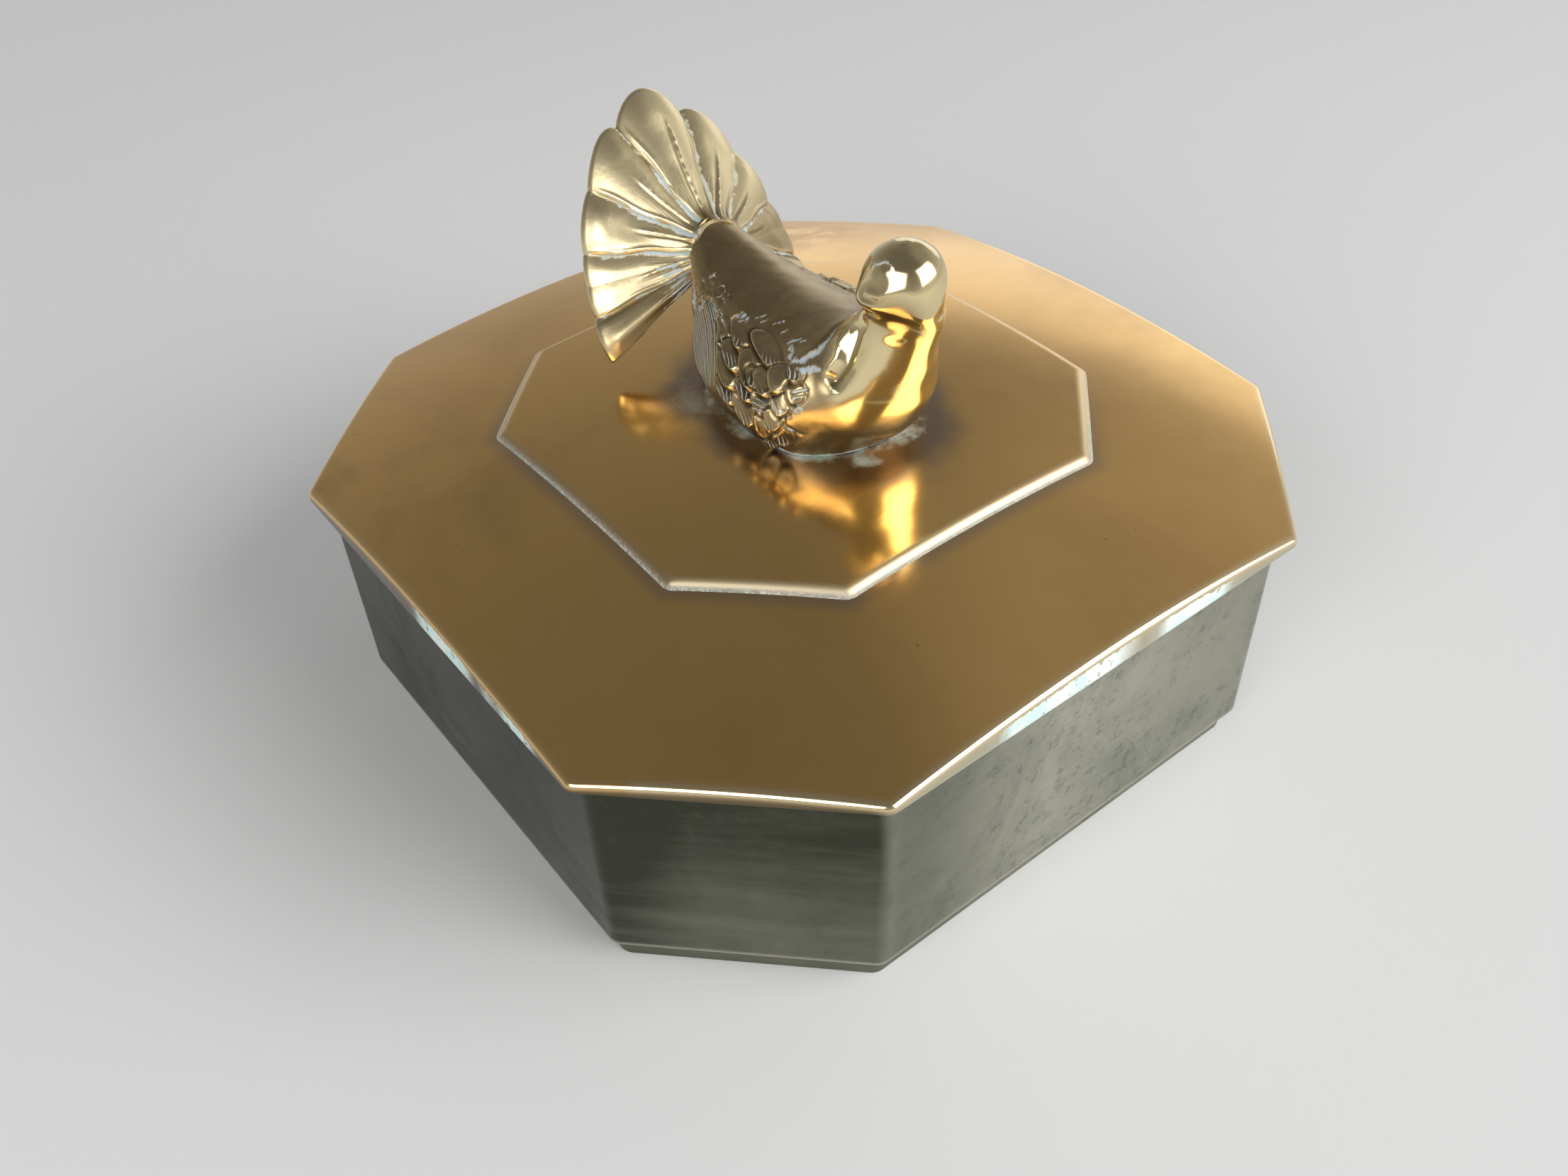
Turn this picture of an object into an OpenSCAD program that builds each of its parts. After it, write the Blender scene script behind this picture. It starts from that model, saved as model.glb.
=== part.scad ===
// Brass box with chamfered corners, a lift-off domed lid and a cast bird finial
// whose tail stands up as a fan. Millimetres, +Z up, the box stands on z = 0.

/* [Lid] */
// Width of the lid across its flat sides
lid_w = 150; // [90:1:220]
// Leg of each corner chamfer of the lid, along a side
lid_chamfer = 31.5; // [10:0.5:60]
// Height of the lower edge of the folded rim above the table
rim_z = 44.7; // [25:0.1:90]
// Height of the crown of the dome above the lower edge of the rim
dome_rise = 13.1; // [8:0.1:30]
// Radius of the shallow dome
dome_radius = 332; // [200:1:900]
// Sheet thickness of the lid
lid_t = 1.2; // [0.6:0.1:3]
// Outer radius of the lid's outline at its eight corners
lid_bend_r = 2.4; // [2:0.1:5]

/* [Raised panel] */
// Width of the raised panel across its flat sides
panel_w = 90; // [50:1:140]
// Leg of each corner chamfer of the raised panel
panel_chamfer = 19.2; // [5:0.1:40]
// Sheet thickness of the raised panel
panel_t = 0.8; // [0.4:0.1:3]
// Radius of the panel's outline at its eight corners
panel_bend_r = 1.5; // [0.5:0.1:5]

/* [Body] */
// Overhang of the lid past the wall, all round
overhang = 2.8; // [1.5:0.1:8]
// Thickness of the wall band
wall_t = 1.6; // [0.8:0.1:4]
// Outer radius of the eight bends of the wall band and of the foot band
bend_r = 3; // [2.2:0.1:8]
// Gap between the top of the wall and the underside of the lid at the corners
lid_seat_gap = 0.3; // [0.1:0.05:1]
// Thickness of the floor plate
floor_t = 1.2; // [0.6:0.1:3]

/* [Foot] */
// Height of the foot band below the wall
foot_h = 5; // [2:0.1:15]
// Inset of the foot band from the face of the wall
foot_inset = 2; // [1.7:0.1:8]
// Thickness of the foot band
foot_t = 1.5; // [0.8:0.1:4]

/* [Locating band] */
// Depth that the locating band reaches down inside the wall
band_depth = 7; // [3:0.5:20]
// Thickness of the locating band
band_t = 1; // [0.5:0.1:3]
// Gap between the locating band and the wall
band_gap = 0.4; // [0.2:0.05:1]

/* [Bird] */
// Length of the bird from the root of the tail to the breast
bird_len = 58; // [40:0.5:80]
// Height of the bird above the lid
bird_h = 36.8; // [25:0.2:60]
// Half the greatest width of the bird
bird_half_w = 15.6; // [8:0.1:25]
// Place of the tail root behind the middle of the lid
tail_root_y = 23.2; // [10:0.1:40]
// Film of solder under the bird
seat_film = 0.05; // [0.02:0.01:0.2]

/* [Tail fan] */
// Number of feathers
feathers = 9; // [5:2:15]
// Angle that each feather takes
feather_turn = 29.8; // [15:0.1:35]
// Angle that the lowest feather on each side takes
end_turn = 17.8; // [5:0.1:30]
// Angle that the whole fan is turned to one side
fan_turn = 3.5; // [-8:0.5:8]
// Radius of the fan at its notches, at the sides
fan_r = 19.1; // [12:0.1:35]
// Added reach of the top feathers
fan_top_reach = 5.5; // [0:0.1:10]
// Added reach of the feathers low on each side
fan_low_reach = 7.4; // [0:0.1:12]
// Added length of the pointed ends of the lowest feathers
end_len = 1.2; // [0:0.1:6]
// Sweep of the fan behind the root of the tail
fan_sweep = 11; // [3:0.1:20]
// How far the lowest feathers come forward again
fan_cup = 4; // [0:0.1:15]
// Rise of each feather between its grooves
feather_crown = 0.9; // [0:0.1:3]
// Thickness of the fan at its rounded edge
fan_t = 2.2; // [0.6:0.1:3]
// Rise of the side scallops of the edge past its notches
scallop = 0.8; // [0:0.1:3]
// Rise of the scallop of the top feather past its notches
top_scallop = 3.9; // [0:0.1:6]

/* [Fixing] */
// Diameter of the fixing screw
screw_d = 5; // [3:0.5:8]
// Length of the screw inside the bird
screw_grip = 9; // [5:0.5:15]
// Gap between the screw and each hole, on the radius
screw_gap = 0.1; // [0.05:0.05:0.5]
// Diameter of the washer
washer_d = 14; // [8:0.5:24]
// Thickness of the washer
washer_t = 1; // [0.5:0.1:3]
// Diameter of the screw head
head_d = 9; // [6:0.5:16]
// Height of the screw head
head_h = 3; // [1.5:0.1:6]

/* [Hidden] */
brass = [0.80, 0.62, 0.33];
pale_brass = [0.87, 0.74, 0.46];
dull_brass = [0.58, 0.54, 0.38];
round_fn = 128;
bend_fn = 64;
overrun = 1;
film = 0.05;

crown_z = rim_z + dome_rise;
dome_z0 = crown_z - dome_radius;
panel_r = dome_radius + panel_t;
seat_z = crown_z + panel_t;

wall_half = lid_w / 2 - overhang;
wall_chamfer = inset_leg(lid_chamfer, overhang);
wall_corner_r = norm([wall_half, wall_half - wall_chamfer]);
wall_top = dome_under(wall_corner_r) - lid_seat_gap;
floor_half = wall_half - wall_t - film;
floor_chamfer = inset_leg(wall_chamfer, wall_t + film);
foot_half = wall_half - foot_inset;
foot_chamfer = inset_leg(wall_chamfer, foot_inset);
band_half = wall_half - wall_t - band_gap;
band_chamfer = inset_leg(wall_chamfer, wall_t + band_gap);
band_bottom = wall_top - band_depth;

// Leg of a chamfer once every side of the outline has moved in by d
function inset_leg(leg, d) = leg - (2 - sqrt(2)) * d;

// Height of the underside of the lid, and of the top of the raised panel
function dome_under(r) = dome_z0 + sqrt(pow(dome_radius - lid_t, 2) - r * r);
function panel_top(x, y) = dome_z0 + sqrt(pow(panel_r, 2) - x * x - y * y);

function quarter_turns(p, q) = q == 0 ? p : quarter_turns([-p[1], p[0]], q - 1);

// Square outline with a chamfer at each corner, and a bend of radius r at each
// of its eight arrises
module outline(half, leg, r) {
    h = half - r;
    f = h - inset_leg(leg, r);
    d = r * sin(45);
    quarter = [[h + r, f], [h + d, f + d], [f + d, h + d], [f, h + r]];
    polygon([for (q = [0:3]) each [for (p = quarter) quarter_turns(p, q)]]);
    for (q = [0:3])
        rotate(90 * q) {
            translate([h, f]) circle(r = r, $fn = bend_fn);
            translate([f, h]) circle(r = r, $fn = bend_fn);
        }
}

module band(half, leg, t, r, z0, z1) {
    translate([0, 0, z0])
        linear_extrude(z1 - z0)
            difference() {
                outline(half, leg, r);
                outline(half - t, inset_leg(leg, t), r - t);
            }
}

module dome(r) {
    translate([0, 0, dome_z0])
        sphere(r = r, $fn = round_fn);
}

module wall_band() {
    color(dull_brass)
        band(wall_half, wall_chamfer, wall_t, bend_r, foot_h, wall_top);
}

module floor_plate() {
    color(dull_brass)
        translate([0, 0, foot_h])
            linear_extrude(floor_t)
                outline(floor_half, floor_chamfer, bend_r - wall_t - film);
}

module foot_band() {
    color(dull_brass)
        band(foot_half, foot_chamfer, foot_t, bend_r, 0, foot_h);
}

// Pressed sheet: a shallow dome with its edge folded straight down
module lid_shell() {
    inner_half = lid_w / 2 - lid_t;
    color(brass)
        difference() {
            intersection() {
                translate([0, 0, rim_z])
                    linear_extrude(dome_rise)
                        outline(lid_w / 2, lid_chamfer, lid_bend_r);
                dome(dome_radius);
            }
            intersection() {
                translate([0, 0, rim_z - overrun])
                    linear_extrude(dome_rise)
                        outline(inner_half, inset_leg(lid_chamfer, lid_t), lid_bend_r - lid_t);
                dome(dome_radius - lid_t);
            }
            translate([0, 0, crown_z - lid_t - overrun])
                cylinder(r = screw_d / 2 + screw_gap, h = lid_t + 2 * overrun, $fn = round_fn);
        }
}

module raised_panel() {
    color(brass)
        difference() {
            intersection() {
                translate([0, 0, rim_z])
                    linear_extrude(dome_rise + panel_t)
                        outline(panel_w / 2, panel_chamfer, panel_bend_r);
                dome(panel_r);
            }
            dome(dome_radius);
            translate([0, 0, crown_z - overrun])
                cylinder(r = screw_d / 2 + screw_gap, h = panel_t + 2 * overrun, $fn = round_fn);
        }
}

// Strip under the lid that keeps it square on the wall
module locating_band() {
    color(brass)
        intersection() {
            band(band_half, band_chamfer, band_t, bend_r - wall_t, band_bottom, crown_z);
            dome(dome_radius - lid_t);
        }
}

module bird_casting() {
    color(pale_brass)
        difference() {
            bird_skin();
            translate([0, 0, crown_z])
                cylinder(r = screw_d / 2 + screw_gap,
                         h = panel_t + screw_grip + screw_gap, $fn = round_fn);
        }
}

module tail_fan() {
    color(pale_brass)
        fan_skin();
}

washer_drop = dome_radius - lid_t - sqrt(pow(dome_radius - lid_t, 2) - pow(washer_d / 2, 2));
washer_top = crown_z - lid_t - washer_drop - film;

module fixing_washer() {
    color(dull_brass)
        translate([0, 0, washer_top - washer_t])
            difference() {
                cylinder(r = washer_d / 2, h = washer_t, $fn = round_fn);
                translate([0, 0, -overrun])
                    cylinder(r = screw_d / 2 + screw_gap, h = washer_t + 2 * overrun, $fn = round_fn);
            }
}

module fixing_screw() {
    color(dull_brass) {
        translate([0, 0, washer_top - washer_t - head_h])
            cylinder(r = head_d / 2, h = head_h, $fn = round_fn);
        translate([0, 0, washer_top - washer_t - head_h / 2])
            cylinder(r = screw_d / 2, h = head_h / 2 + seat_z + screw_grip - washer_top + washer_t,
                     $fn = round_fn);
    }
}

// The bird is a loft. Each station pairs a point on the line of the back with one
// on the line of the belly, from the root of the tail to the crown of the head:
// how far forward and how high the two lie, and the half width between them, as
// shares of the bird's length, height and half width.
bird_station_shares = [
    [0.000, 0.580, 0.080, 0.344, 0.33],
    [0.055, 0.565, 0.115, 0.190, 0.49],
    [0.130, 0.540, 0.145, -0.070, 0.65],
    [0.220, 0.510, 0.200, -0.260, 0.79],
    [0.330, 0.490, 0.315, -0.300, 0.91],
    [0.450, 0.490, 0.450, -0.305, 0.98],
    [0.555, 0.505, 0.575, -0.300, 1.00],
    [0.630, 0.530, 0.700, -0.230, 0.96],
    [0.675, 0.555, 0.800, -0.010, 0.85],
    [0.705, 0.590, 0.870, 0.095, 0.73],
    [0.725, 0.620, 0.908, 0.225, 0.62],
    [0.745, 0.650, 0.930, 0.365, 0.51],
    [0.760, 0.690, 0.947, 0.500, 0.42],
    [0.775, 0.735, 0.962, 0.635, 0.36],
    [0.778, 0.770, 0.970, 0.710, 0.35],
    [0.767, 0.810, 0.980, 0.770, 0.385],
    [0.765, 0.870, 0.980, 0.865, 0.39],
    [0.785, 0.935, 0.960, 0.940, 0.32],
    [0.825, 0.980, 0.925, 0.980, 0.185],
    [0.860, 0.995, 0.890, 0.995, 0.06]];
// How much wider the trunk is low down than at the back
pear_share = 0.02;
// The head looks back over the shoulder: turn of the bill from the line of the back
bill_turn = 76;
bill_reach_share = 0.10;
bill_height_share = 0.79;
bill_spread_share = 0.05;
// The folded wings stand out from the trunk and end in a shoulder at the neck:
// their lift, the stations that they run between and how far round they reach
wing_lift_share = 0.10;
wing_from = 1;
wing_to = 7.2;
wing_fade = 1.4;
wing_top_turn = 22;
wing_low_turn = 112;
wing_turn_fade = 24;
steps_between = 3;
ring_points = 36;
ring_step = 360 / ring_points;

function blend(a, b, c, d, t) =
    (2 * b + (c - a) * t + (2 * a - 5 * b + 4 * c - d) * t * t
     + (3 * b - a - 3 * c + d) * t * t * t) / 2;
last_station = len(bird_station_shares) - 1;
function station(i) = bird_station_shares[max(0, min(last_station, i))];
function station_at(s) = let (i = min(last_station - 1, floor(s)))
    blend(station(i - 1), station(i), station(i + 1), station(i + 2), s - i);
function along(share) = tail_root_y - share * bird_len;
function above(share) = seat_z + share * bird_h;

function ramp(t) = let (c = max(0, min(1, t))) c * c * (3 - 2 * c);
function fold(a) = min(a, 360 - a);
function wing(s, a) =
    ramp((s - wing_from) / (2 * wing_fade)) * ramp((wing_to + wing_fade - s) / wing_fade)
    * ramp((fold(a) - wing_top_turn) / wing_turn_fade) * ramp((wing_low_turn - fold(a)) / wing_turn_fade);

function bird_point(st, s, a) =
    let (back_y = along(st[0]), back_z = above(st[1]),
         belly_y = along(st[2]), belly_z = above(st[3]),
         trunk = max(0, 1 - 2 * s / last_station),
         x = -sin(a) * bird_half_w * (st[4] * (1 - pear_share * trunk * cos(a))
                                      + wing_lift_share * wing(s, a)),
         y = (back_y + belly_y + (back_y - belly_y) * cos(a)) / 2,
         z = (back_z + belly_z + (back_z - belly_z) * cos(a)) / 2,
         near_bill = exp(-pow((z - above(bill_height_share)) / (bill_spread_share * bird_h), 2)),
         push = bill_reach_share * bird_half_w * near_bill * pow(max(0, cos(a - bill_turn)), 4),
         px = x - push * sin(bill_turn),
         py = y + push * cos(bill_turn),
         floor_z = panel_top(px, py) + seat_film)
    [px, py, max(z, floor_z)];

module bird_skin() {
    rings = last_station * steps_between;
    points = [for (r = [0:rings], k = [0:ring_points - 1])
                  bird_point(station_at(r / steps_between), r / steps_between, k * ring_step)];
    sides = [for (r = [0:rings - 1], k = [0:ring_points - 1])
                 let (a = r * ring_points + k, b = r * ring_points + (k + 1) % ring_points)
                 each [[a, a + ring_points, b], [b, a + ring_points, b + ring_points]]];
    tail_end = [[for (k = [0:ring_points - 1]) k]];
    crown = [[for (k = [ring_points - 1:-1:0]) rings * ring_points + k]];
    polyhedron(points, concat(tail_end, sides, crown), convexity = 10);
}

// The fan grows out of the flat end of the tail root, so it takes its place,
// its lean and the size of its root from the first station of the bird.
root = station(0);
root_y = (along(root[0]) + along(root[2])) / 2;
root_z = (above(root[1]) + above(root[3])) / 2;
root_rise = norm([along(root[0]) - along(root[2]), above(root[1]) - above(root[3])]) / 2;
root_half_w = root[4] * bird_half_w;
lean = atan2(along(root[0]) - along(root[2]), above(root[1]) - above(root[3]));
up = [0, sin(lean), cos(lean)];
back = [0, cos(lean), -sin(lean)];
side = [1, 0, 0];
hub = [0, root_y, root_z];
hub_t = 1.5 * fan_t;

feather_steps = 6;
gap_steps = 5;
fan_rows = 5;
rim_steps = 4;
half_span = (feathers / 2 - 1) * feather_turn + end_turn;

// Angle from upright at a place along the fan's edge, counted in feathers
function fan_angle(f) = let (m = max(1, min(feathers - 1, f)))
    (m - feathers / 2) * feather_turn + (f - m) * end_turn;
// From 0 to 1 across the lowest feather on each side, out to its tip
function at_tip(f) = max(0, 1 - f, f - feathers + 1);
function at_top(a) = max(0, cos(a));
function at_low(a) = max(0, -cos(a));
function lobe(f) = pow(sin(180 * (f - floor(f))), 0.7);
// Reach of the fan's edge: scallops that deepen towards the top feather
function edge_reach(a, f) =
    fan_r + fan_top_reach * pow(at_top(a), 4) + fan_low_reach * at_low(a)
    + lobe(f) * (scallop + (top_scallop - scallop) * pow(at_top(a), 12))
    + end_len * at_tip(f);
// Direction across the fan at an angle from its upright feather
function outward(a) = sin(a + fan_turn) * side + cos(a + fan_turn) * up;
function edge_point(a, f) =
    hub + edge_reach(a, f) * outward(a) + (fan_sweep - fan_t / 2 - fan_cup * at_low(a)) * back;
function root_point(a) = hub + root_half_w * sin(a) * side + root_rise * cos(a) * up;

// Columns run round the root: through the feathers, then back under the tail.
// Each holds its angle, its edge point, its lobe and the radius of its edge.
fan_columns = concat(
    [for (i = [0:feathers * feather_steps])
        let (f = i / feather_steps, a = fan_angle(f))
        [a, edge_point(a, f), lobe(f), fan_t / 2]],
    [for (i = [1:gap_steps - 1])
        let (a = half_span + (360 - 2 * half_span) * i / gap_steps)
        [a, root_point(a), 0, 0]]);

function front_point(c, share) =
    root_point(c[0]) + share * (c[1] - root_point(c[0]))
    - feather_crown * c[2] * sin(90 * share) * back;
function rear_point(c, share) = front_point(c, share) + thickness(share) * back;
function thickness(share) = hub_t + (fan_t - hub_t) * share;
// Half round edge between the front and the rear
function rim_point(c, turn) =
    front_point(c, 1) + fan_t / 2 * (1 - cos(turn)) * back + c[3] * sin(turn) * outward(c[0]);

module fan_skin() {
    n = len(fan_columns);
    rows = concat(
        [for (j = [0:fan_rows]) [for (c = fan_columns) front_point(c, j / fan_rows)]],
        [for (i = [1:rim_steps - 1]) [for (c = fan_columns) rim_point(c, i * 180 / rim_steps)]],
        [for (j = [fan_rows:-1:0]) [for (c = fan_columns) rear_point(c, j / fan_rows)]]);
    points = [for (row = rows) each row];
    sides = [for (j = [0:len(rows) - 2], k = [0:n - 1])
                 let (a = j * n + k, b = j * n + (k + 1) % n)
                 each [[a, a + n, b], [b, a + n, b + n]]];
    front = [[for (k = [0:n - 1]) k]];
    rear = [[for (k = [n - 1:-1:0]) (len(rows) - 1) * n + k]];
    polyhedron(points, concat(front, sides, rear), convexity = 10);
}

wall_band();
floor_plate();
foot_band();
lid_shell();
raised_panel();
locating_band();
bird_casting();
tail_fan();
fixing_washer();
fixing_screw();
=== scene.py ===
import math

import bmesh
import bpy
import numpy as np
from mathutils import Matrix, Vector, noise


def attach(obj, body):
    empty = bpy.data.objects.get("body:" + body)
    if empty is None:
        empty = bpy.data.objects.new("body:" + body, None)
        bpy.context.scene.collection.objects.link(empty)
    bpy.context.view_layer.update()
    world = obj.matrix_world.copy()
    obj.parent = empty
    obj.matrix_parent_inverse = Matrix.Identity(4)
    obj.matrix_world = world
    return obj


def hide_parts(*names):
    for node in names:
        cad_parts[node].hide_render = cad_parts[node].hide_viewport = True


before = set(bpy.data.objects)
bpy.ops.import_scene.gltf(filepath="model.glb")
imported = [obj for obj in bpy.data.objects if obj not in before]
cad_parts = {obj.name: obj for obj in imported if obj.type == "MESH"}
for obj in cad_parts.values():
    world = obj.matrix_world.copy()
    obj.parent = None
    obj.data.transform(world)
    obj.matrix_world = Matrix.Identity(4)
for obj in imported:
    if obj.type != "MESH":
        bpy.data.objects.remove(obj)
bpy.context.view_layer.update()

MM = 0.001


# Shader maths written as expressions
def plug(tree, slot, item):
    """Links a value to an input of a node, or sets a plain number or colour on it."""
    if isinstance(item, Value):
        tree.links.new(item.socket, slot)
    else:
        slot.default_value = item


def operator(operation, reflected=False):
    """A method of Value that adds one Math node. Reflected, the other side comes first."""
    def method(self, other):
        pair = (other, self) if reflected else (self, other)
        return self.math(operation, *pair)
    return method


class Value:
    """One socket of a material, on which + - * / and ** add Math nodes."""

    def __init__(self, tree, socket):
        self.tree = tree
        self.socket = socket

    def math(self, operation, *items):
        """A Math node on values and plain numbers, in the order given."""
        node = self.tree.nodes.new("ShaderNodeMath")
        node.operation = operation
        for slot, item in zip(node.inputs, items):
            plug(self.tree, slot, item)
        return Value(self.tree, node.outputs[0])

    __add__, __radd__ = operator("ADD"), operator("ADD", True)
    __sub__, __rsub__ = operator("SUBTRACT"), operator("SUBTRACT", True)
    __mul__, __rmul__ = operator("MULTIPLY"), operator("MULTIPLY", True)
    __truediv__, __pow__, most = operator("DIVIDE"), operator("POWER"), operator("MAXIMUM")

    def clamp(self):
        return self.math("MINIMUM", self, 1.0).most(0.0)

    def size(self):
        return self.math("ABSOLUTE", self)

    def root(self):
        return self.math("SQRT", self)

    def sine(self):
        return self.math("SINE", self)

    def band(self, low, high):
        """0 below low, 1 above high, smooth between. low may be above high."""
        a, b = (low, high) if low < high else (high, low)
        node = self.tree.nodes.new("ShaderNodeMapRange")
        node.interpolation_type = "SMOOTHSTEP"
        for name, item in (("Value", self), ("From Min", a), ("From Max", b)):
            plug(self.tree, node.inputs[name], item)
        out = Value(self.tree, node.outputs["Result"])
        return out if low < high else 1 - out


class Graph:
    """The nodes of one material or of the room's light."""

    def __init__(self, tree):
        self.tree = tree

    def node(self, kind, settings=None, **sockets):
        made = self.tree.nodes.new("ShaderNode" + kind)
        for name, value in (settings or {}).items():
            setattr(made, name, value)
        for name, value in sockets.items():
            plug(self.tree, made.inputs[name.replace("_", " ")], value)
        return made

    def out(self, made, name):
        return Value(self.tree, made.outputs[name])

    def place(self, scale=(1, 1, 1), turn=(0, 0, 0), shift=(0, 0, 0)):
        """Object coordinates in metres, scaled, turned and shifted."""
        coords = self.out(self.node("TexCoord"), "Object")
        mapping = self.node("Mapping", Vector=coords, Scale=scale, Rotation=turn, Location=shift)
        return self.out(mapping, "Vector")

    def noise(self, place, scale, detail=3.0, rough=0.55, twist=0.0):
        made = self.node("TexNoise", Vector=place, Scale=scale, Detail=detail, Roughness=rough,
                         Distortion=twist)
        return self.out(made, "Fac")

    def cells(self, place, scale):
        """Distance from the middle of the nearest of many random cells."""
        return self.out(self.node("TexVoronoi", Vector=place, Scale=scale), "Distance")

    def carried(self, name):
        """A value that the mesh itself carries at each of its points."""
        return self.out(self.node("Attribute", {"attribute_name": name}), "Fac")

    def mix(self, share, a, b):
        """Colour a where share is 0 and colour b where it is 1."""
        made = self.node("Mix", {"data_type": "RGBA", "clamp_factor": True})
        for index, item in ((0, share), (6, a), (7, b)):
            plug(self.tree, made.inputs[index], item + (1.0,) if isinstance(item, tuple) else item)
        return self.out(made, 2)

    def parts(self, place):
        """The x, y and z of a place, as values."""
        made = self.node("SeparateXYZ", Vector=place)
        return tuple(self.out(made, axis) for axis in "XYZ")


class Finish(Graph):
    """A material under construction: one Principled shader and what feeds it."""

    def __init__(self, name, colour=None, **constants):
        self.material = bpy.data.materials.new(name)
        self.colour = colour
        self.material.use_nodes = True
        super().__init__(self.material.node_tree)
        self.shader = self.tree.nodes["Principled BSDF"]
        self.feed(**constants)

    def coat(self, share, colour):
        """Lay a colour over what is there, by its share."""
        self.colour = self.mix(share, self.colour, colour)

    def feed(self, **sockets):
        for name, value in sockets.items():
            plug(self.tree, self.shader.inputs[name.replace("_", " ")], value)

    def relief(self, height, depth, strength):
        """Surface relief: height runs from 0 to 1 over a depth in metres."""
        bump = self.node("Bump", Height=height, Distance=depth, Strength=strength)
        self.feed(Normal=self.out(bump, "Normal"))


def oval(x, y, reach_x, reach_y):
    """How far out a place lies, counted so that it is 1 all round an oval of that reach."""
    return ((x / reach_x) ** 2 + (y / reach_y) ** 2).root()


# Camera, light and floor
def placed(name, data):
    """A new object in the scene."""
    obj = bpy.data.objects.new(name, data)
    bpy.context.scene.collection.objects.link(obj)
    return obj


def aim(obj, place, target, roll=0.0):
    """Put a lamp or the camera at a place and point its -Z at a target."""
    ahead = (Vector(target) - Vector(place)).normalized()
    right = ahead.cross(Vector((0, 0, 1))).normalized()
    up = right.cross(ahead)
    c, s = math.cos(roll), math.sin(roll)
    right, up = right * c + up * s, up * c - right * s
    m = Matrix((right, up, -ahead)).transposed().to_4x4()
    m.translation = Vector(place)
    obj.matrix_world = m


VIEW_AZIMUTH = math.radians(36.2756)
VIEW_FALL = math.radians(41.2628)
VIEW_ROLL = math.radians(-2.7625)
VIEW_PLACE = Vector((-0.1230946, -0.1614370, 0.1887757))
IMAGE_WIDTH = 2212
FOCAL_PIXELS = 1932.94
SENSOR_WIDTH = 36.0

view = bpy.data.cameras.new("view")
view.sensor_fit = "HORIZONTAL"
view.sensor_width = SENSOR_WIDTH
view.lens = SENSOR_WIDTH * FOCAL_PIXELS / IMAGE_WIDTH
view.clip_start = 0.01
view.clip_end = 50
camera = placed("view", view)
view_ahead = Vector((math.sin(VIEW_AZIMUTH) * math.cos(VIEW_FALL),
                     math.cos(VIEW_AZIMUTH) * math.cos(VIEW_FALL), -math.sin(VIEW_FALL)))
aim(camera, VIEW_PLACE, VIEW_PLACE + view_ahead, VIEW_ROLL)
bpy.context.scene.camera = camera
bpy.context.scene.view_settings.view_transform = "Standard"

# Soft lamps in place of the room's windows: name, place, width, height and power
LAMPS = [("window_right", (0.81, -1.37, 0.88), 1.7, 1.45, 19),
         ("window_left", (-1.58, -0.74, 0.94), 1.5, 1.1, 11.5),
         ("window_far", (1.47, 0.86, 0.36), 1.5, 0.6, 1.0)]
LAMP_TARGET = (0, 0, 0.06)
LAMP_SPREAD = math.radians(125)

for lamp_name, lamp_place, lamp_width, lamp_height, power in LAMPS:
    light = bpy.data.lights.new(lamp_name, "AREA")
    light.shape = "RECTANGLE"
    light.size = lamp_width
    light.size_y = lamp_height
    light.energy = power
    light.spread = LAMP_SPREAD
    lamp = placed(lamp_name, light)
    lamp.visible_camera = False
    aim(lamp, lamp_place, LAMP_TARGET)

# Brightness and colour of the plain background, far off
BACKGROUND = 0.62
AIR = (1.0, 0.99, 0.975, 1)
# Light of the room: the same from all round, what low places add, and a patch up on the right
ROOM_EVEN, ROOM_LOW, ROOM_PATCH = 0.175, 0.43, 0.13
# Half the width of the floor, and how far off it starts and ends to fade into the background
FLOOR_HALF, FADE_START, FADE_END = 40.0, 0.28, 1.0


def room_light():
    """A plain room, brighter low down than overhead, and to the right."""
    room = bpy.data.worlds.new("room")
    bpy.context.scene.world = room
    room.use_nodes = True
    air = Graph(room.node_tree)
    right, back, up = air.parts(air.out(air.node("TexCoord"), "Generated"))
    side = (0.70 + right * 0.60).most(0.5)
    patch = (right * 0.72 - back * 0.05 + up * 0.69).band(0.80, 0.97)
    lit = ROOM_EVEN + ROOM_LOW * side * (1 - up.clamp()) ** 2 + patch * ROOM_PATCH
    seen = air.out(air.node("LightPath"), "Is Camera Ray")
    background = room.node_tree.nodes["Background"]
    plug(air.tree, background.inputs["Color"], AIR)
    plug(air.tree, background.inputs["Strength"], seen * BACKGROUND + (1 - seen) * lit)


def plain_floor():
    """A pale floor that runs into the plain background further off."""
    mesh = bpy.data.meshes.new("floor")
    corners = [(x * FLOOR_HALF, y * FLOOR_HALF, 0) for x, y in ((-1, -1), (1, -1), (1, 1), (-1, 1))]
    mesh.from_pydata(corners, [], [(0, 1, 2, 3)])
    paint = Finish("pale_floor", Base_Color=(0.72, 0.72, 0.72, 1), Roughness=0.95, Specular_IOR_Level=0.1)
    x, y, _ = paint.parts(paint.place())
    away = oval(x, y, 1.0, 1.0).band(FADE_START, FADE_END)
    rays = paint.node("LightPath")
    seen = (paint.out(rays, "Is Camera Ray") + paint.out(rays, "Is Glossy Ray")).clamp()
    plain = paint.node("Emission", Color=AIR, Strength=BACKGROUND)
    blend = paint.node("MixShader", Fac=away * seen)
    links = paint.tree.links
    links.new(paint.shader.outputs[0], blend.inputs[1])
    links.new(plain.outputs[0], blend.inputs[2])
    links.new(blend.outputs[0], paint.tree.nodes["Material Output"].inputs["Surface"])
    mesh.materials.append(paint.material)
    floor = placed("floor", mesh)


room_light()
plain_floor()


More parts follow.
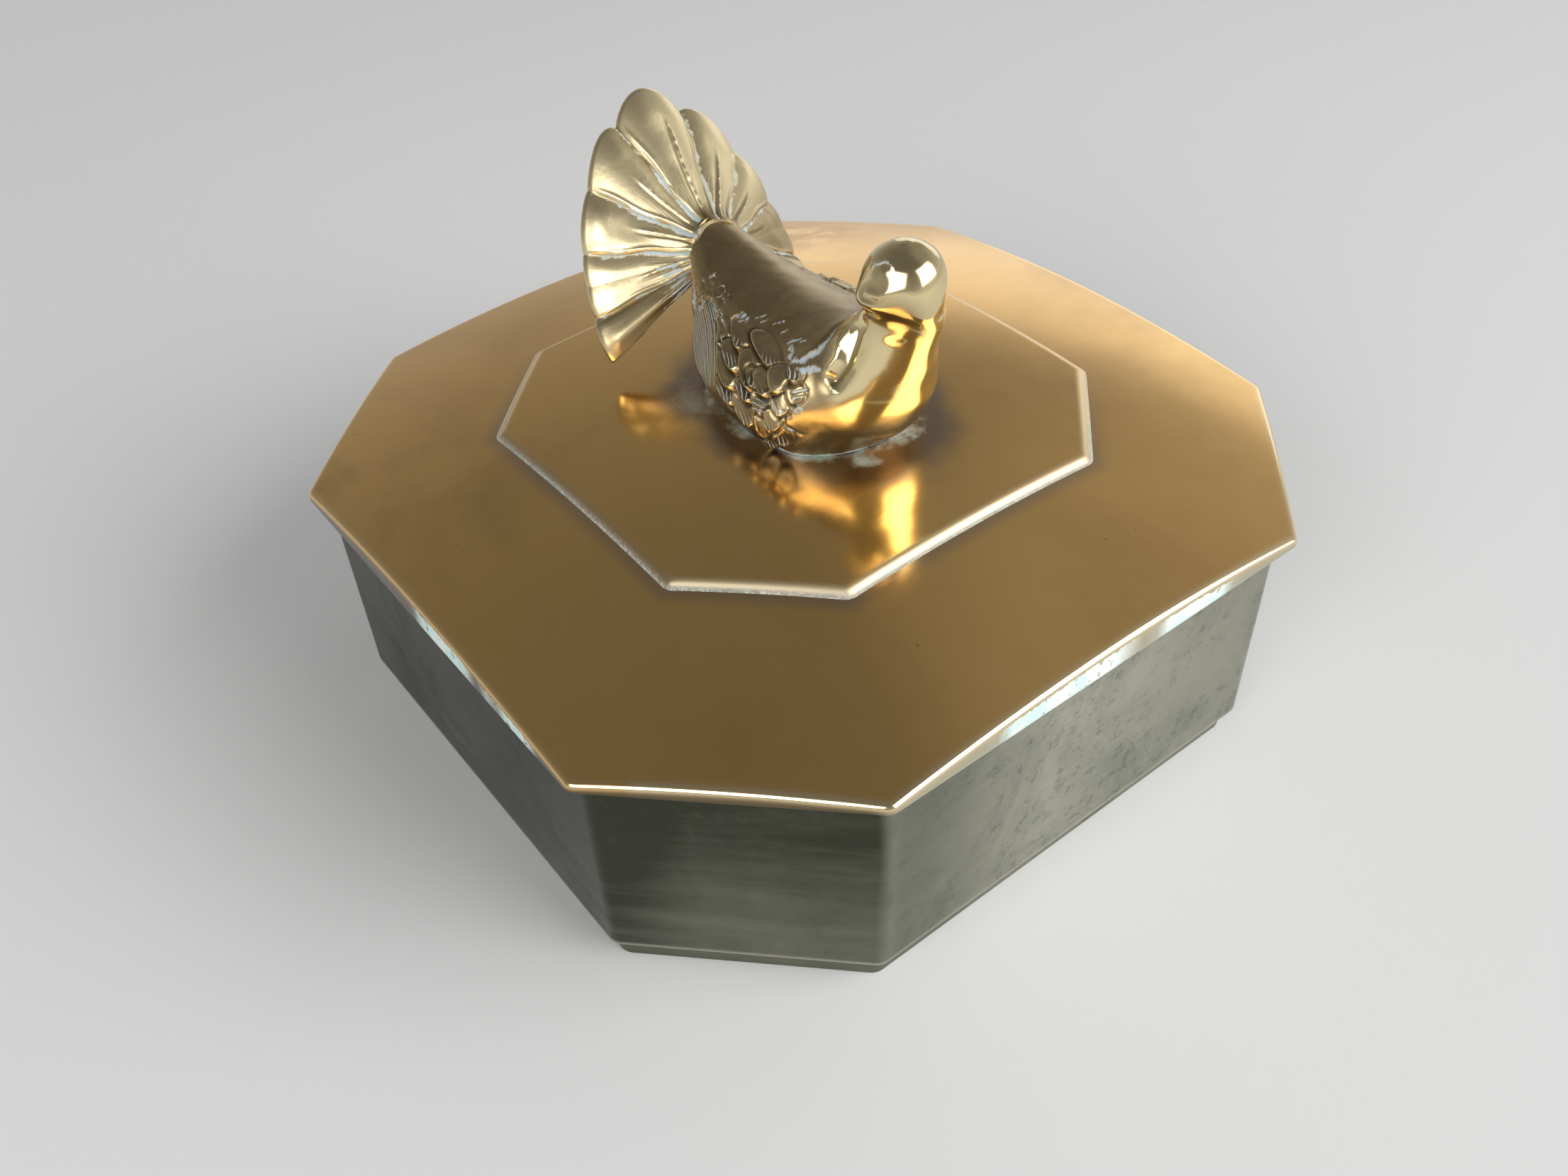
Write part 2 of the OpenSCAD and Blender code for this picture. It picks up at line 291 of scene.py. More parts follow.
# Meshes through rings of points
class Rings:
    """Rings of points in mm, from one end of a surface to the other, with what each carries."""

    def __init__(self, *names):
        self.rows = []
        self.carried = {name: [] for name in names}

    def add(self, row, **amounts):
        self.rows.append(row)
        for name, kept in self.carried.items():
            kept.append(np.full(len(row), amounts.get(name, 0.0)))

    def mesh(self, name, caps=False):
        return ring_mesh(name, self.rows, self.carried, caps)


def ring_mesh(name, rows, carried, caps=False):
    """A smooth surface through rings of points. carried holds values for each point."""
    pts = np.asarray(rows, float)
    n, m = pts.shape[:2]
    faces = []
    for i in range(n - 1):
        for k in range(m):
            a, b = i * m + k, i * m + (k + 1) % m
            faces.append((a, b, b + m, a + m))
    if caps:
        faces.append(tuple(range(m - 1, -1, -1)))
        faces.append(tuple((n - 1) * m + k for k in range(m)))
    mesh = bpy.data.meshes.new(name)
    mesh.from_pydata([tuple(p) for p in (pts.reshape(-1, 3) * MM)], [], faces)
    mesh.update()
    mesh.shade_smooth()
    for key, values in carried.items():
        layer = mesh.attributes.new(key, "FLOAT", "POINT")
        layer.data.foreach_set("value", np.asarray(values, np.float32).ravel())
    return placed(name, mesh)


def mended(obj, mend):
    """The same object, after one repair of its mesh and with its faces turned outwards."""
    shape = bmesh.new()
    shape.from_mesh(obj.data)
    mend(shape)
    bmesh.ops.recalc_face_normals(shape, faces=shape.faces)
    shape.to_mesh(obj.data)
    shape.free()
    return obj


# Sizes of the box, in mm, the same as the solids have
LID_WIDTH, LID_CHAMFER, RIM_LOW = 150.0, 31.5, 44.7
DOME_RISE, DOME_RADIUS, LID_SHEET = 13.1, 332.0, 1.2
PANEL_WIDTH, PANEL_CHAMFER, PANEL_SHEET = 90.0, 19.2, 0.8
OVERHANG, WALL_SHEET, SEAT_GAP = 2.8, 1.6, 0.3
FOOT_HEIGHT, FOOT_INSET, FOOT_SHEET = 5.0, 2.0, 1.5
BEND, LID_BEND, PANEL_BEND = 3.0, 2.4, 1.5

CROWN = RIM_LOW + DOME_RISE
DOME_CENTRE = CROWN - DOME_RADIUS
SEAT = CROWN + PANEL_SHEET
PANEL_TOP = DOME_RADIUS + PANEL_SHEET
WALL_HALF = LID_WIDTH / 2 - OVERHANG
LESS_LEG = 2 - math.sqrt(2)

# Small radii in mm: inner edges of the bent strips, the fillet in the lid, the roll of its top
# edge and the rounding of its lower edge
INNER_ROUND, LID_FILLET, LID_ROLL, HEM_ROUND = 0.3, 0.6, 1.15, 0.3
# Steps along each bend, each side and each chamfer of an outline, and how far in mm the first
# and last points of a flat side lie from its bends
BEND_STEPS, SIDE_STEPS, CHAMFER_STEPS, FLAT_START = 7, 28, 14, 0.4
# Points of a mesh that lie closer than this, in metres, become one
WELD_GAP = 1e-6

# The step up to the panel: distance outside the panel's edge, share of its height, how
# polished with a painted highlight, how crusted
PANEL_STEP = [(0.95, -0.12, 0.0, 0.6), (0.80, 0.0, 0.0, 1.0), (0.52, 0.05, 0.2, 1.0),
              (0.28, 0.18, 0.6, 0.6), (0.02, 0.42, 0.9, 0.2), (-0.22, 0.68, 1.0, 0.0),
              (-0.48, 0.87, 1.0, 0.0), (-0.80, 0.97, 0.7, 0.0), (-1.15, 1.0, 0.3, 0.0),
              (-1.6, 1.0, 0.0, 0.0)]

# Where flakes of pale residue still cling below the rim, on the left and the front of the lid:
# where they start and end along it, in mm
CRUST_LEFT = [(-34.0, -24.5), (-21.5, -19.5), (-16.0, 1.0)]
CRUST_FRONT = [(-23.0, 3.0), (10.0, 26.0)]


def inset_leg(leg, d):
    """Leg of a chamfer after its outline has moved in by d."""
    return leg - LESS_LEG * d


def dome_height(x, y, radius=DOME_RADIUS):
    return DOME_CENTRE + np.sqrt(radius * radius - x * x - y * y)


WALL_CHAMFER = inset_leg(LID_CHAMFER, OVERHANG)
WALL_TOP = float(dome_height(WALL_HALF, WALL_HALF - WALL_CHAMFER, DOME_RADIUS - LID_SHEET)) - SEAT_GAP


def outline(half, leg, bend):
    """Points round a square with chamfered corners and rounded arrises, with their outward normals.

    The number of points and their order are the same for every size of outline."""
    h, f = half - bend, half - bend - inset_leg(leg, bend)
    corners = []
    for q in range(4):
        c, s = round(math.cos(q * math.pi / 2)), round(math.sin(q * math.pi / 2))
        corners += [(x * c - y * s, x * s + y * c) for x, y in ((h, f), (f, h))]
    points, normals = [], []
    for i, (cx, cy) in enumerate(corners):
        nx, ny = corners[(i + 1) % 8]
        count = CHAMFER_STEPS if i % 2 == 0 else SIDE_STEPS
        near = min(FLAT_START / max(math.hypot(nx - cx, ny - cy), 1e-6), 0.2)
        stops = [(k / BEND_STEPS, 0.0) for k in range(BEND_STEPS + 1)]
        stops += [(1.0, near + (1 - 2 * near) * k / count) for k in range(count + 1)]
        for turned_by, t in stops:
            a = math.radians(45 * (i + turned_by))
            normals.append((math.cos(a), math.sin(a)))
            points.append((cx + (nx - cx) * t + bend * math.cos(a),
                           cy + (ny - cy) * t + bend * math.sin(a)))
    return np.array(points), np.array(normals)


def inset_outline(half, leg, inset, bend):
    """Points of an outline that lies inset mm inside another one."""
    return outline(half - inset, inset_leg(leg, inset), bend)[0]


def at_height(points, z):
    return np.column_stack([points, z * np.ones(len(points))])


def on_dome(points, radius=DOME_RADIUS):
    return at_height(points, dome_height(points[:, 0], points[:, 1], radius))


def quarter_round(start, end, count):
    return [math.radians(start + (end - start) * k / count) for k in range(count + 1)]


def bent_strip(name, half, leg, sheet, bend, low, high, soft_low, soft_high):
    """A strip of sheet bent round the outline, with its edges softened."""
    def corner(inset, z, radius, start, count):
        return [(inset - radius * math.cos(a), z + radius * math.sin(a))
                for a in quarter_round(start, start + 90, count)]

    foot_z, head_z, inner = low + soft_low, high - soft_high, sheet - INNER_ROUND
    profile = corner(soft_low, foot_z, soft_low, -90, 5)
    profile += [(0, foot_z + (head_z - foot_z) * t) for t in np.linspace(0.04, 0.96, 12)]
    profile += corner(soft_high, head_z, soft_high, 0, 5)
    profile += corner(inner, high - INNER_ROUND, INNER_ROUND, 90, 3)
    profile += corner(inner, low + INNER_ROUND, INNER_ROUND, 180, 3)
    rings = Rings()
    for inset, z in profile + profile[:1]:
        rings.add(at_height(inset_outline(half, leg, inset, bend - inset), z))
    return mended(rings.mesh(name),
                  lambda shape: bmesh.ops.remove_doubles(shape, verts=shape.verts, dist=WELD_GAP))


def rim_crust(points):
    """How far each point of the lid's outline lies in the crusted places, from 0 to 1."""
    x, y = points[:, 0], points[:, 1]
    half = LID_WIDTH / 2
    crust = np.zeros(len(points))
    for on_side, place, spans in ((x < 1 - half, y, CRUST_LEFT), (y < 1 - half, x, CRUST_FRONT)):
        for start, end in spans:
            inside = np.minimum(place - start, end - place)
            crust = np.maximum(crust, on_side * np.clip(0.5 + inside / 3, 0, 1))
    return crust


def make_lid():
    """The lid: a dome on a skirt that hangs straight down, with a small roll between them."""
    half, leg, sheet = LID_WIDTH / 2, LID_CHAMFER, LID_SHEET
    base, normals = outline(half, leg, LID_BEND)
    # slope of the dome straight across each edge of the outline
    slope = np.arcsin((base * normals).sum(1) / DOME_RADIUS)
    rings = Rings("edge", "skirt")
    # inside of the dome, from the middle outwards, and down the inside of the skirt
    inner = inset_outline(half, leg, sheet, LID_BEND - sheet)
    for share in np.linspace(0.02, 0.97, 26):
        rings.add(on_dome(inner * share, DOME_RADIUS - sheet))
    for a in quarter_round(80, 0, 4):
        inset = sheet + LID_FILLET * (1 - math.cos(a))
        row = on_dome(inset_outline(half, leg, inset, LID_BEND - sheet), DOME_RADIUS - sheet)
        rings.add(row - (0, 0, LID_FILLET * (1 - math.sin(a))))
    for a in quarter_round(180, 360, 6):
        inset = sheet / 2 - sheet / 2 * math.cos(a)
        row = at_height(inset_outline(half, leg, inset, LID_BEND - inset),
                        RIM_LOW + HEM_ROUND * (1 + math.sin(a)))
        rings.add(row, edge=0.6, skirt=1.0)
    # up the skirt, round the rolled top edge and on to the dome
    end_turn = math.pi / 2 - slope
    end = base - normals * (LID_ROLL * (1 - np.cos(end_turn)))[:, None]
    centre_z = dome_height(end[:, 0], end[:, 1]) - LID_ROLL * np.sin(end_turn)
    skirt_low = RIM_LOW + HEM_ROUND
    for t in (0.25, 0.7):
        rings.add(at_height(base, skirt_low + (centre_z - skirt_low) * t), edge=0.55, skirt=1.0 - 0.2 * t)
    for k in range(8):
        turn = end_turn * k / 7
        row = at_height(base - normals * (LID_ROLL * (1 - np.cos(turn)))[:, None],
                        centre_z + LID_ROLL * np.sin(turn))
        rings.add(row, edge=1.0 if 1 < k < 6 else 0.75, skirt=max(0.0, 0.70 - 0.25 * k))
    last = row[:, :2]
    # the dome just inside the roll is polished, with a painted highlight fading inwards
    for share, polish_and_highlight in ((0.998, 0.5), (0.994, 0.15), (0.986, 0.0), (0.970, 0.0)):
        rings.add(on_dome(last * share), edge=polish_and_highlight)
    for share in np.linspace(0.95, 0.02, 34):
        rings.add(on_dome(last * share))
    rings.carried["crust"] = [rim_crust(row) * (skirt > 0.3)
                              for row, skirt in zip(rings.rows, rings.carried["skirt"])]
    return rings.mesh("lid_sheet", caps=True)


def make_panel():
    """The raised panel: a soft step up from the dome, then the dome again."""
    rings = Rings("edge", "crust")
    for away, rise, polish_and_highlight, crusted in PANEL_STEP:
        points = inset_outline(PANEL_WIDTH / 2, PANEL_CHAMFER, -away, PANEL_BEND + away * 0.9 + 0.5)
        rings.add(on_dome(points, DOME_RADIUS + PANEL_SHEET * rise), edge=polish_and_highlight, crust=crusted)
    for share in np.linspace(0.97, 0.02, 30):
        rings.add(on_dome(points * share, PANEL_TOP))
    return mended(rings.mesh("panel_sheet"), lambda shape: bmesh.ops.holes_fill(
        shape, edges=[e for e in shape.edges if e.is_boundary], sides=0))


wall = bent_strip("wall", WALL_HALF, WALL_CHAMFER, WALL_SHEET, BEND, FOOT_HEIGHT, WALL_TOP, 0.7, 0.35)
foot = bent_strip("foot", WALL_HALF - FOOT_INSET, inset_leg(WALL_CHAMFER, FOOT_INSET), FOOT_SHEET,
                  BEND, 0.0, FOOT_HEIGHT, 0.4, 0.1)
lid_sheet = make_lid()
panel_sheet = make_panel()


# The bird, in the same form as its solid, with the carving of its wings and face

BIRD_LENGTH, BIRD_HEIGHT, BIRD_HALF_WIDTH, TAIL_ROOT = 58.0, 36.8, 15.6, 23.2
BILL_TURN = 76.0

# Rings from the root of the tail to the top of the head, as shares of those sizes:
# place and height of the back, place and height of the belly, half width
BIRD_RINGS = np.array([
    (0.000, 0.580, 0.080, 0.344, 0.330), (0.055, 0.565, 0.115, 0.190, 0.490),
    (0.130, 0.540, 0.145, -0.070, 0.650), (0.220, 0.510, 0.200, -0.260, 0.790),
    (0.330, 0.490, 0.315, -0.300, 0.910), (0.450, 0.490, 0.450, -0.305, 0.980),
    (0.555, 0.505, 0.575, -0.300, 1.000), (0.630, 0.530, 0.700, -0.230, 0.960),
    (0.675, 0.555, 0.800, -0.010, 0.850), (0.705, 0.590, 0.870, 0.095, 0.730),
    (0.725, 0.620, 0.908, 0.225, 0.620), (0.745, 0.650, 0.930, 0.365, 0.510),
    (0.760, 0.690, 0.947, 0.500, 0.420), (0.775, 0.735, 0.962, 0.635, 0.360),
    (0.778, 0.770, 0.970, 0.710, 0.350), (0.767, 0.810, 0.980, 0.770, 0.385),
    (0.765, 0.870, 0.980, 0.865, 0.390), (0.785, 0.935, 0.960, 0.940, 0.320),
    (0.825, 0.980, 0.925, 0.980, 0.185), (0.860, 0.995, 0.890, 0.995, 0.060)])
LAST_RING = len(BIRD_RINGS) - 1
# Rings along the bird's mesh and points round each
MESH_RINGS, MESH_TURNS = 296, 304

# Scales of a wing, from the tail forwards, so that each lies over those behind it: the place
# of the middle forwards and round from the line of the back, length, width, turn, turn of the barbs
WING_SCALES = [
    (-4.0, 13.4, 6.2, 3.6, 38, 4), (2.4, 21.2, 7.8, 3.8, 28, 6), (1.4, 18.4, 8.2, 4.0, 32, 4),
    (1.2, 15.8, 7.2, 3.3, 32, 2), (0.3, 12.2, 7.6, 3.2, 35, 10), (8.4, 22.6, 7.6, 4.6, 45, 8),
    (7.6, 19.4, 6.0, 3.6, 32, 10), (6.6, 16.4, 8.4, 3.8, 42, 4), (8.6, 17.2, 4.6, 2.6, 40, 12),
    (13.6, 26.8, 6.2, 3.4, 80, 4), (12.9, 24.4, 5.4, 3.4, 76, 6), (12.2, 20.3, 5.4, 4.0, 44, -38),
    (11.0, 17.2, 6.2, 3.2, 38, -10), (7.8, 12.4, 12.2, 3.6, 21, 14), (16.4, 25.6, 6.0, 3.0, 92, 6),
    (15.3, 22.4, 4.2, 3.6, 60, 8), (16.1, 19.5, 4.6, 3.6, 56, -8), (13.9, 15.9, 5.4, 4.4, 48, None),
    (17.9, 17.2, 4.0, 3.0, 58, None), (16.6, 14.2, 3.8, 2.6, 46, 4)]
# Distance between the barbs of a scale and between the lines under the tail, and how far a
# scale's free side stands up, in mm
BARB_PITCH, COVERT_PITCH, SCALE_LIFT = 0.62, 0.52, 0.85

# Short strokes of the graver above the scales: start and end, forwards and round
WING_STROKES = [
    ((4.6, 8.0), (6.3, 6.4)), ((7.6, 8.8), (8.4, 7.6)), ((10.6, 10.0), (12.3, 8.4)),
    ((12.9, 8.9), (13.6, 8.5)), ((-3.6, 11.0), (-2.7, 8.9)), ((-2.6, 10.8), (-1.8, 9.0)),
    ((-1.4, 10.6), (-0.8, 9.2)), ((0.4, 8.6), (1.6, 7.4)), ((2.0, 8.8), (2.8, 7.8)),
    ((-6.8, 10.9), (-3.6, 12.6)), ((-7.4, 11.6), (-4.4, 13.6)), ((18.0, 17.1), (19.4, 16.2)),
    ((18.3, 17.9), (19.5, 17.3)), ((17.2, 20.6), (18.2, 21.4)), ((17.6, 23.8), (18.8, 25.6))]

# Round punch marks beside the root of the tail: place forwards and round, radius
PUNCH_MARKS = [(-14.4, 10.3, 1.15), (-11.9, 10.2, 0.75), (-12.8, 12.6, 0.6), (-8.6, 10.2, 0.95),
               (-10.0, 8.2, 0.6), (-12.6, 7.8, 0.7), (-7.2, 8.4, 0.5)]

# Patches of pale residue on the flank: place, reach lengthwise and across, turn, amount
RESIDUE_PATCHES = [
    ((-15.4, 12.4), (3.4, 1.7), 60, 0.80), ((-12.2, 13.6), (2.6, 1.6), 40, 0.74),
    ((12.6, 11.0), (3.6, 0.9), 42, 0.66), ((15.4, 12.6), (2.4, 0.9), 50, 0.66),
    ((18.4, 13.2), (3.0, 1.1), -15, 0.78), ((-1.5, 9.4), (3.0, 0.8), 20, 0.56),
    ((18.8, 19.0), (2.0, 1.2), 70, 0.60)]

# Lines on one side of the bird, which its other side mirrors, in mm: the hollow between neck and
# wing, the edge of the shoulder behind it, the crease behind the shoulder, the hollow down the breast
NECK_HOLLOW = [(-5.2, -24.6, 84.0), (-6.5, -23.6, 81.6), (-7.9, -23.9, 79.0), (-9.0, -24.1, 76.8),
               (-10.1, -23.6, 74.6), (-11.0, -22.6, 73.0)]
SHOULDER_EDGE = [(-4.2, -23.4, 84.6), (-5.6, -21.3, 80.8), (-7.6, -21.5, 78.6), (-8.8, -22.1, 77.0),
                 (-10.0, -21.5, 75.2), (-11.2, -20.6, 73.8)]
SHOULDER_CREASE = [(-3.0, -17.0, 79.4), (-5.4, -17.2, 78.6), (-6.9, -17.8, 78.0), (-9.1, -17.9, 76.4),
                   (-11.0, -16.4, 75.0), (-12.4, -14.4, 73.6)]
BREAST_HOLLOW = [(-4.6, -31.0, 83.0), (-5.2, -31.6, 78.6), (-5.0, -32.2, 74.0), (-4.4, -31.6, 69.6)]

# Lines of the face, which looks to one side: the brow, the lip above the mouth, the mouth
BROW = [(-5.4, -25.7, 92.1), (-4.9, -26.8, 93.1), (-4.3, -28.0, 93.8), (-4.0, -30.0, 93.5)]
LIP = [(-7.0, -27.2, 89.5), (-6.6, -28.9, 89.4), (-5.9, -29.9, 89.9), (-4.7, -31.5, 90.4),
       (-3.1, -32.7, 90.8)]
MOUTH = [(-7.3, -26.6, 88.5), (-6.9, -29.0, 88.7), (-6.3, -30.0, 88.7), (-5.3, -31.2, 88.8),
         (-4.5, -32.0, 88.6)]
EYE, THROAT = (-5.05, -28.5, 92.6), (-5.3, -31.0, 86.4)


# What each point of the two castings' meshes carries for their material: the count of the barb
# lines across it, how deep they are cut, pale residue, dark creases, brown tarnish with painted
# shade and a painted dark reflection, satin sheen and edges rubbed bright with a painted highlight
MARKS = ("barb", "cut", "residue", "crease", "brown_share", "satin", "bright")


def along(rows, s):
    """The rows read at a fractional place s, on a smooth curve through them."""
    i = np.clip(np.floor(s).astype(int), 0, len(rows) - 1)
    t = (s - i)[..., None]
    a, b, c, d = (rows[np.clip(i + k, 0, len(rows) - 1)] for k in (-1, 0, 1, 2))
    return (2 * b + (c - a) * t + (2 * a - 5 * b + 4 * c - d) * t ** 2
            + (3 * b - a - 3 * c + d) * t ** 3) / 2


def ramp(t):
    t = np.clip(t, 0, 1)
    return t * t * (3 - 2 * t)


def hump(distance, reach):
    """1 at no distance, falling smoothly to nothing a little past the reach."""
    return np.exp(-(distance / reach) ** 2)


def window(value, low, rise, high, fall):
    """1 from low + rise to high - fall, and smoothly down to 0 at low and at high."""
    return ramp((value - low) / rise) * ramp((high - value) / fall)


def folded(a):
    """Turn away from the line of the back in degrees, the same on both sides."""
    return np.minimum(a, 360 - a)


def turned(ahead, round_, turn):
    """Offsets forwards and round, as offsets along and across a line at that turn."""
    c, s = math.cos(math.radians(turn)), math.sin(math.radians(turn))
    return ahead * c + round_ * s, ahead * s - round_ * c


def raise_mark(marks, key, amount):
    """Bring a mark up to the amount wherever it is less."""
    marks[key] = np.maximum(marks[key], amount)


def wing_rise(s, a):
    """How far the wing stands out from the trunk, from 0 to 1."""
    return window(s, 1, 2.8, 8.6, 1.4) * window(folded(a), 22, 24, 112, 24)


def ring_ends(ring):
    """Places forwards of a ring's back and belly, then their heights, in mm."""
    return (*(TAIL_ROOT - BIRD_LENGTH * ring[..., k] for k in (0, 2)),
            *(SEAT + BIRD_HEIGHT * ring[..., k] for k in (1, 3)))


def tail_root():
    """Middle and half height of the bird's first ring, and the ways up along it and back from it."""
    back_y, belly_y, back_z, belly_z = ring_ends(BIRD_RINGS[0])
    lean = math.atan2(back_y - belly_y, back_z - belly_z)
    middle = np.array((0, (back_y + belly_y) / 2, (back_z + belly_z) / 2))
    half = math.hypot(back_y - belly_y, back_z - belly_z) / 2
    return (middle, half, np.array((0, math.sin(lean), math.cos(lean))),
            np.array((0, math.cos(lean), -math.sin(lean))))


def bird_form(s, a):
    """The plain form of the bird at ring s and turn a in degrees. The back is at turn 0."""
    ring = along(BIRD_RINGS, s)
    up = np.cos(np.radians(a))
    across = np.sin(np.radians(a))
    back_y, belly_y, back_z, belly_z = ring_ends(ring)
    trunk = np.maximum(0, 1 - 2 * s / LAST_RING)
    x = -across * BIRD_HALF_WIDTH * (ring[..., 4] * (1 - 0.02 * trunk * up) + 0.10 * wing_rise(s, a))
    y = (back_y + belly_y + (back_y - belly_y) * up) / 2
    z = (back_z + belly_z + (back_z - belly_z) * up) / 2
    bill = hump(z - SEAT - 0.79 * BIRD_HEIGHT, 0.05 * BIRD_HEIGHT)
    push = 0.10 * BIRD_HALF_WIDTH * bill * np.maximum(0, np.cos(np.radians(a - BILL_TURN))) ** 4
    x = x - push * math.sin(math.radians(BILL_TURN))
    y = y + push * math.cos(math.radians(BILL_TURN))
    return np.stack([x, y, z], -1)


def spaced(start, end, count, weight):
    """count places from start to end, closer together where the weight is greater."""
    fine = np.linspace(start, end, 4000)
    total = np.concatenate([[0], np.cumsum((weight(fine[1:]) + weight(fine[:-1])) / 2)])
    return np.interp(np.linspace(0, total[-1], count), total, fine)


def directions(points):
    """Outward directions over a grid that closes on itself sideways."""
    across = np.roll(points, -1, 1) - np.roll(points, 1, 1)
    out = np.cross(across, np.gradient(points, axis=0))
    return out / (np.linalg.norm(out, axis=-1, keepdims=True) + 1e-9)


def from_line(points, line, mirrored=False):
    """Distance of every point from a line through places in space, and how far along it."""
    p = points.copy()
    if mirrored:
        p[..., 0] = -np.abs(p[..., 0])
    best = np.full(p.shape[:-1], 1e9)
    place = np.zeros(p.shape[:-1])
    for k in range(len(line) - 1):
        a, b = np.array(line[k]), np.array(line[k + 1])
        t = np.clip(((p - a) @ (b - a)) / ((b - a) @ (b - a)), 0, 1)
        d = np.linalg.norm(p - a - t[..., None] * (b - a), axis=-1)
        near = d < best
        best = np.where(near, d, best)
        place = np.where(near, (k + t) / (len(line) - 1), place)
    return best, place


def cloud(points, size, seed=0.0):
    """Slow random swell between -1 and 1, over about the given size in mm."""
    flat = points.reshape(-1, 3) / size + seed
    return np.array([noise.noise(Vector(p)) for p in flat]).reshape(points.shape[:-1])


def carve_wing(ahead, round_, height, marks):
    """Overlapping scales and strokes, drawn over the flank from the tail forwards."""
    for k, (place, girth, length, width, turn, barb_turn) in enumerate(WING_SCALES):
        lengthwise, crosswise = turned(ahead - place, round_ - girth, turn)
        lengthwise, crosswise = lengthwise / (length / 2), crosswise / (width / 2)
        bowed = crosswise + 0.28 * (lengthwise ** 2 - 0.4)
        reach = np.sqrt(np.abs(lengthwise) ** 2.3 + bowed ** 2)
        outside = (reach - 1) * width / 2
        inside = np.clip(-outside, 0, None) * 3.6 / width
        free = ramp((0.8 - crosswise) / 1.3)
        lift = SCALE_LIFT * (0.25 + 0.75 * free)
        sunk = 0.30 if barb_turn is not None else -0.15
        leaf = lift * ramp(inside / 0.42) ** 0.8 * (1 - sunk * ramp((inside - 0.30) / 0.7))
        over = ramp((1.04 - reach) / 0.09) * (0.75 + 0.25 * free)
        height[:] = height * (1 - over) + (leaf + 0.04) * over
        gully = (0.35 + 0.65 * free) * hump(outside - 0.12, 0.24)
        height -= 0.34 * gully * (1 - over * 0.5)
        for key in ("residue", "cut", "crease", "bright"):
            marks[key] *= 1 - over
        raise_mark(marks, "crease", gully)
        # the free rim of each scale is rubbed bright, with a painted highlight
        raise_mark(marks, "bright", 0.9 * free * hump(inside - 0.24, 0.20) * over)
        if barb_turn is not None:
            along_barb, across_barb = turned(ahead - place, round_ - girth, turn + barb_turn)
            across_barb += (0.30, 0.55, 0.15)[k % 3] * (along_barb / (length / 2)) ** 2
            # cut deepest towards the lower end and the free side
            fading = 0.45 * lengthwise - 0.35 * crosswise + 0.25 * math.sin(2.4 * k)
            cut = over * ramp((inside - 0.36) / 0.22) * (0.04 + 0.96 * ramp((fading + 0.16) / 0.5))
            pitch = BARB_PITCH * (1.0, 0.86, 1.14)[(k // 2) % 3]
            marks["barb"] = np.where(over > 0.1, across_barb / pitch, marks["barb"])
            raise_mark(marks, "cut", cut)
            raise_mark(marks, "residue", 0.46 * cut)
    for (u0, v0), (u1, v1) in WING_STROKES:
        length = math.hypot(u1 - u0, v1 - v0)
        t = np.clip(((ahead - u0) * (u1 - u0) + (round_ - v0) * (v1 - v0)) / length ** 2, 0, 1)
        d = np.hypot(ahead - u0 - t * (u1 - u0), round_ - v0 - t * (v1 - v0))
        height -= 0.16 * hump(d, 0.26)
        raise_mark(marks, "residue", 0.78 * hump(d, 0.34))
    for place, girth, radius in PUNCH_MARKS:
        d = np.hypot(ahead - place, round_ - girth)
        height += 0.14 * hump(d, radius * 0.8) - 0.10 * hump(d - radius - 0.1, 0.3)
        raise_mark(marks, "crease", 0.35 * hump(d - radius - 0.1, 0.22))
        raise_mark(marks, "residue", 0.5 * hump(d - radius - 0.4, 0.5))
    for (place, girth), (long, wide), turn, amount in RESIDUE_PATCHES:
        lengthwise, crosswise = turned(ahead - place, round_ - girth, turn)
        raise_mark(marks, "residue", amount * hump(lengthwise, long) * hump(crosswise, wide))


def carve_coverts(ahead, round_, height, marks):
    """The long fine lines below the root of the tail."""
    length = (ahead + round_) / math.sqrt(2)
    across = (ahead - round_) / math.sqrt(2)
    bowed = across + 0.035 * (length - 6) ** 2 - 1.0
    patch = window(bowed, -24.5, 1.5, -13.2, 1.0) * window(length, -1.5, 2, 16, 3)
    clear = 1 - ramp(marks["crease"] * 2)
    marks["barb"] = np.where(patch > 0.3, bowed / COVERT_PITCH, marks["barb"])
    raise_mark(marks, "cut", patch * clear)
    nearness = ramp((length + 1) / 3) * (0.85 - 0.045 * length + 0.05 * (-bowed - 16))
    raise_mark(marks, "residue", patch * nearness)
    for k in range(5):
        height += patch * (0.18 * hump(bowed + 21.6 - 1.9 * k, 0.55) - 0.10)


def carve_shoulder(form, height, marks):
    """Hollows and edges between the neck, the shoulder and the breast, on both sides."""
    hollow, place = from_line(form, NECK_HOLLOW, True)
    height -= 1.1 * hump(hollow, 1.25) * (0.2 + 0.8 * window(place, 0, 0.12, 1, 0.10))
    raise_mark(marks, "crease", 0.75 * hump(hollow, 0.8) * ramp((place - 0.35) / 0.5))
    shoulder, place = from_line(form, SHOULDER_EDGE, True)
    height += 0.45 * hump(shoulder, 0.6) * window(place, 0, 0.15, 1, 0.2)
    crease, place = from_line(form, SHOULDER_CREASE, True)
    ends = window(place, 0, 0.15, 1.02, 0.25)
    height -= 0.50 * hump(crease, 0.8) * ends
    raise_mark(marks, "residue", 0.82 * hump(crease, 0.95) * (0.2 + 0.8 * ends))
    breast, place = from_line(form, BREAST_HOLLOW, True)
    height -= 0.35 * hump(breast, 2.2) * window(place, 0, 0.15, 1, 0.3)


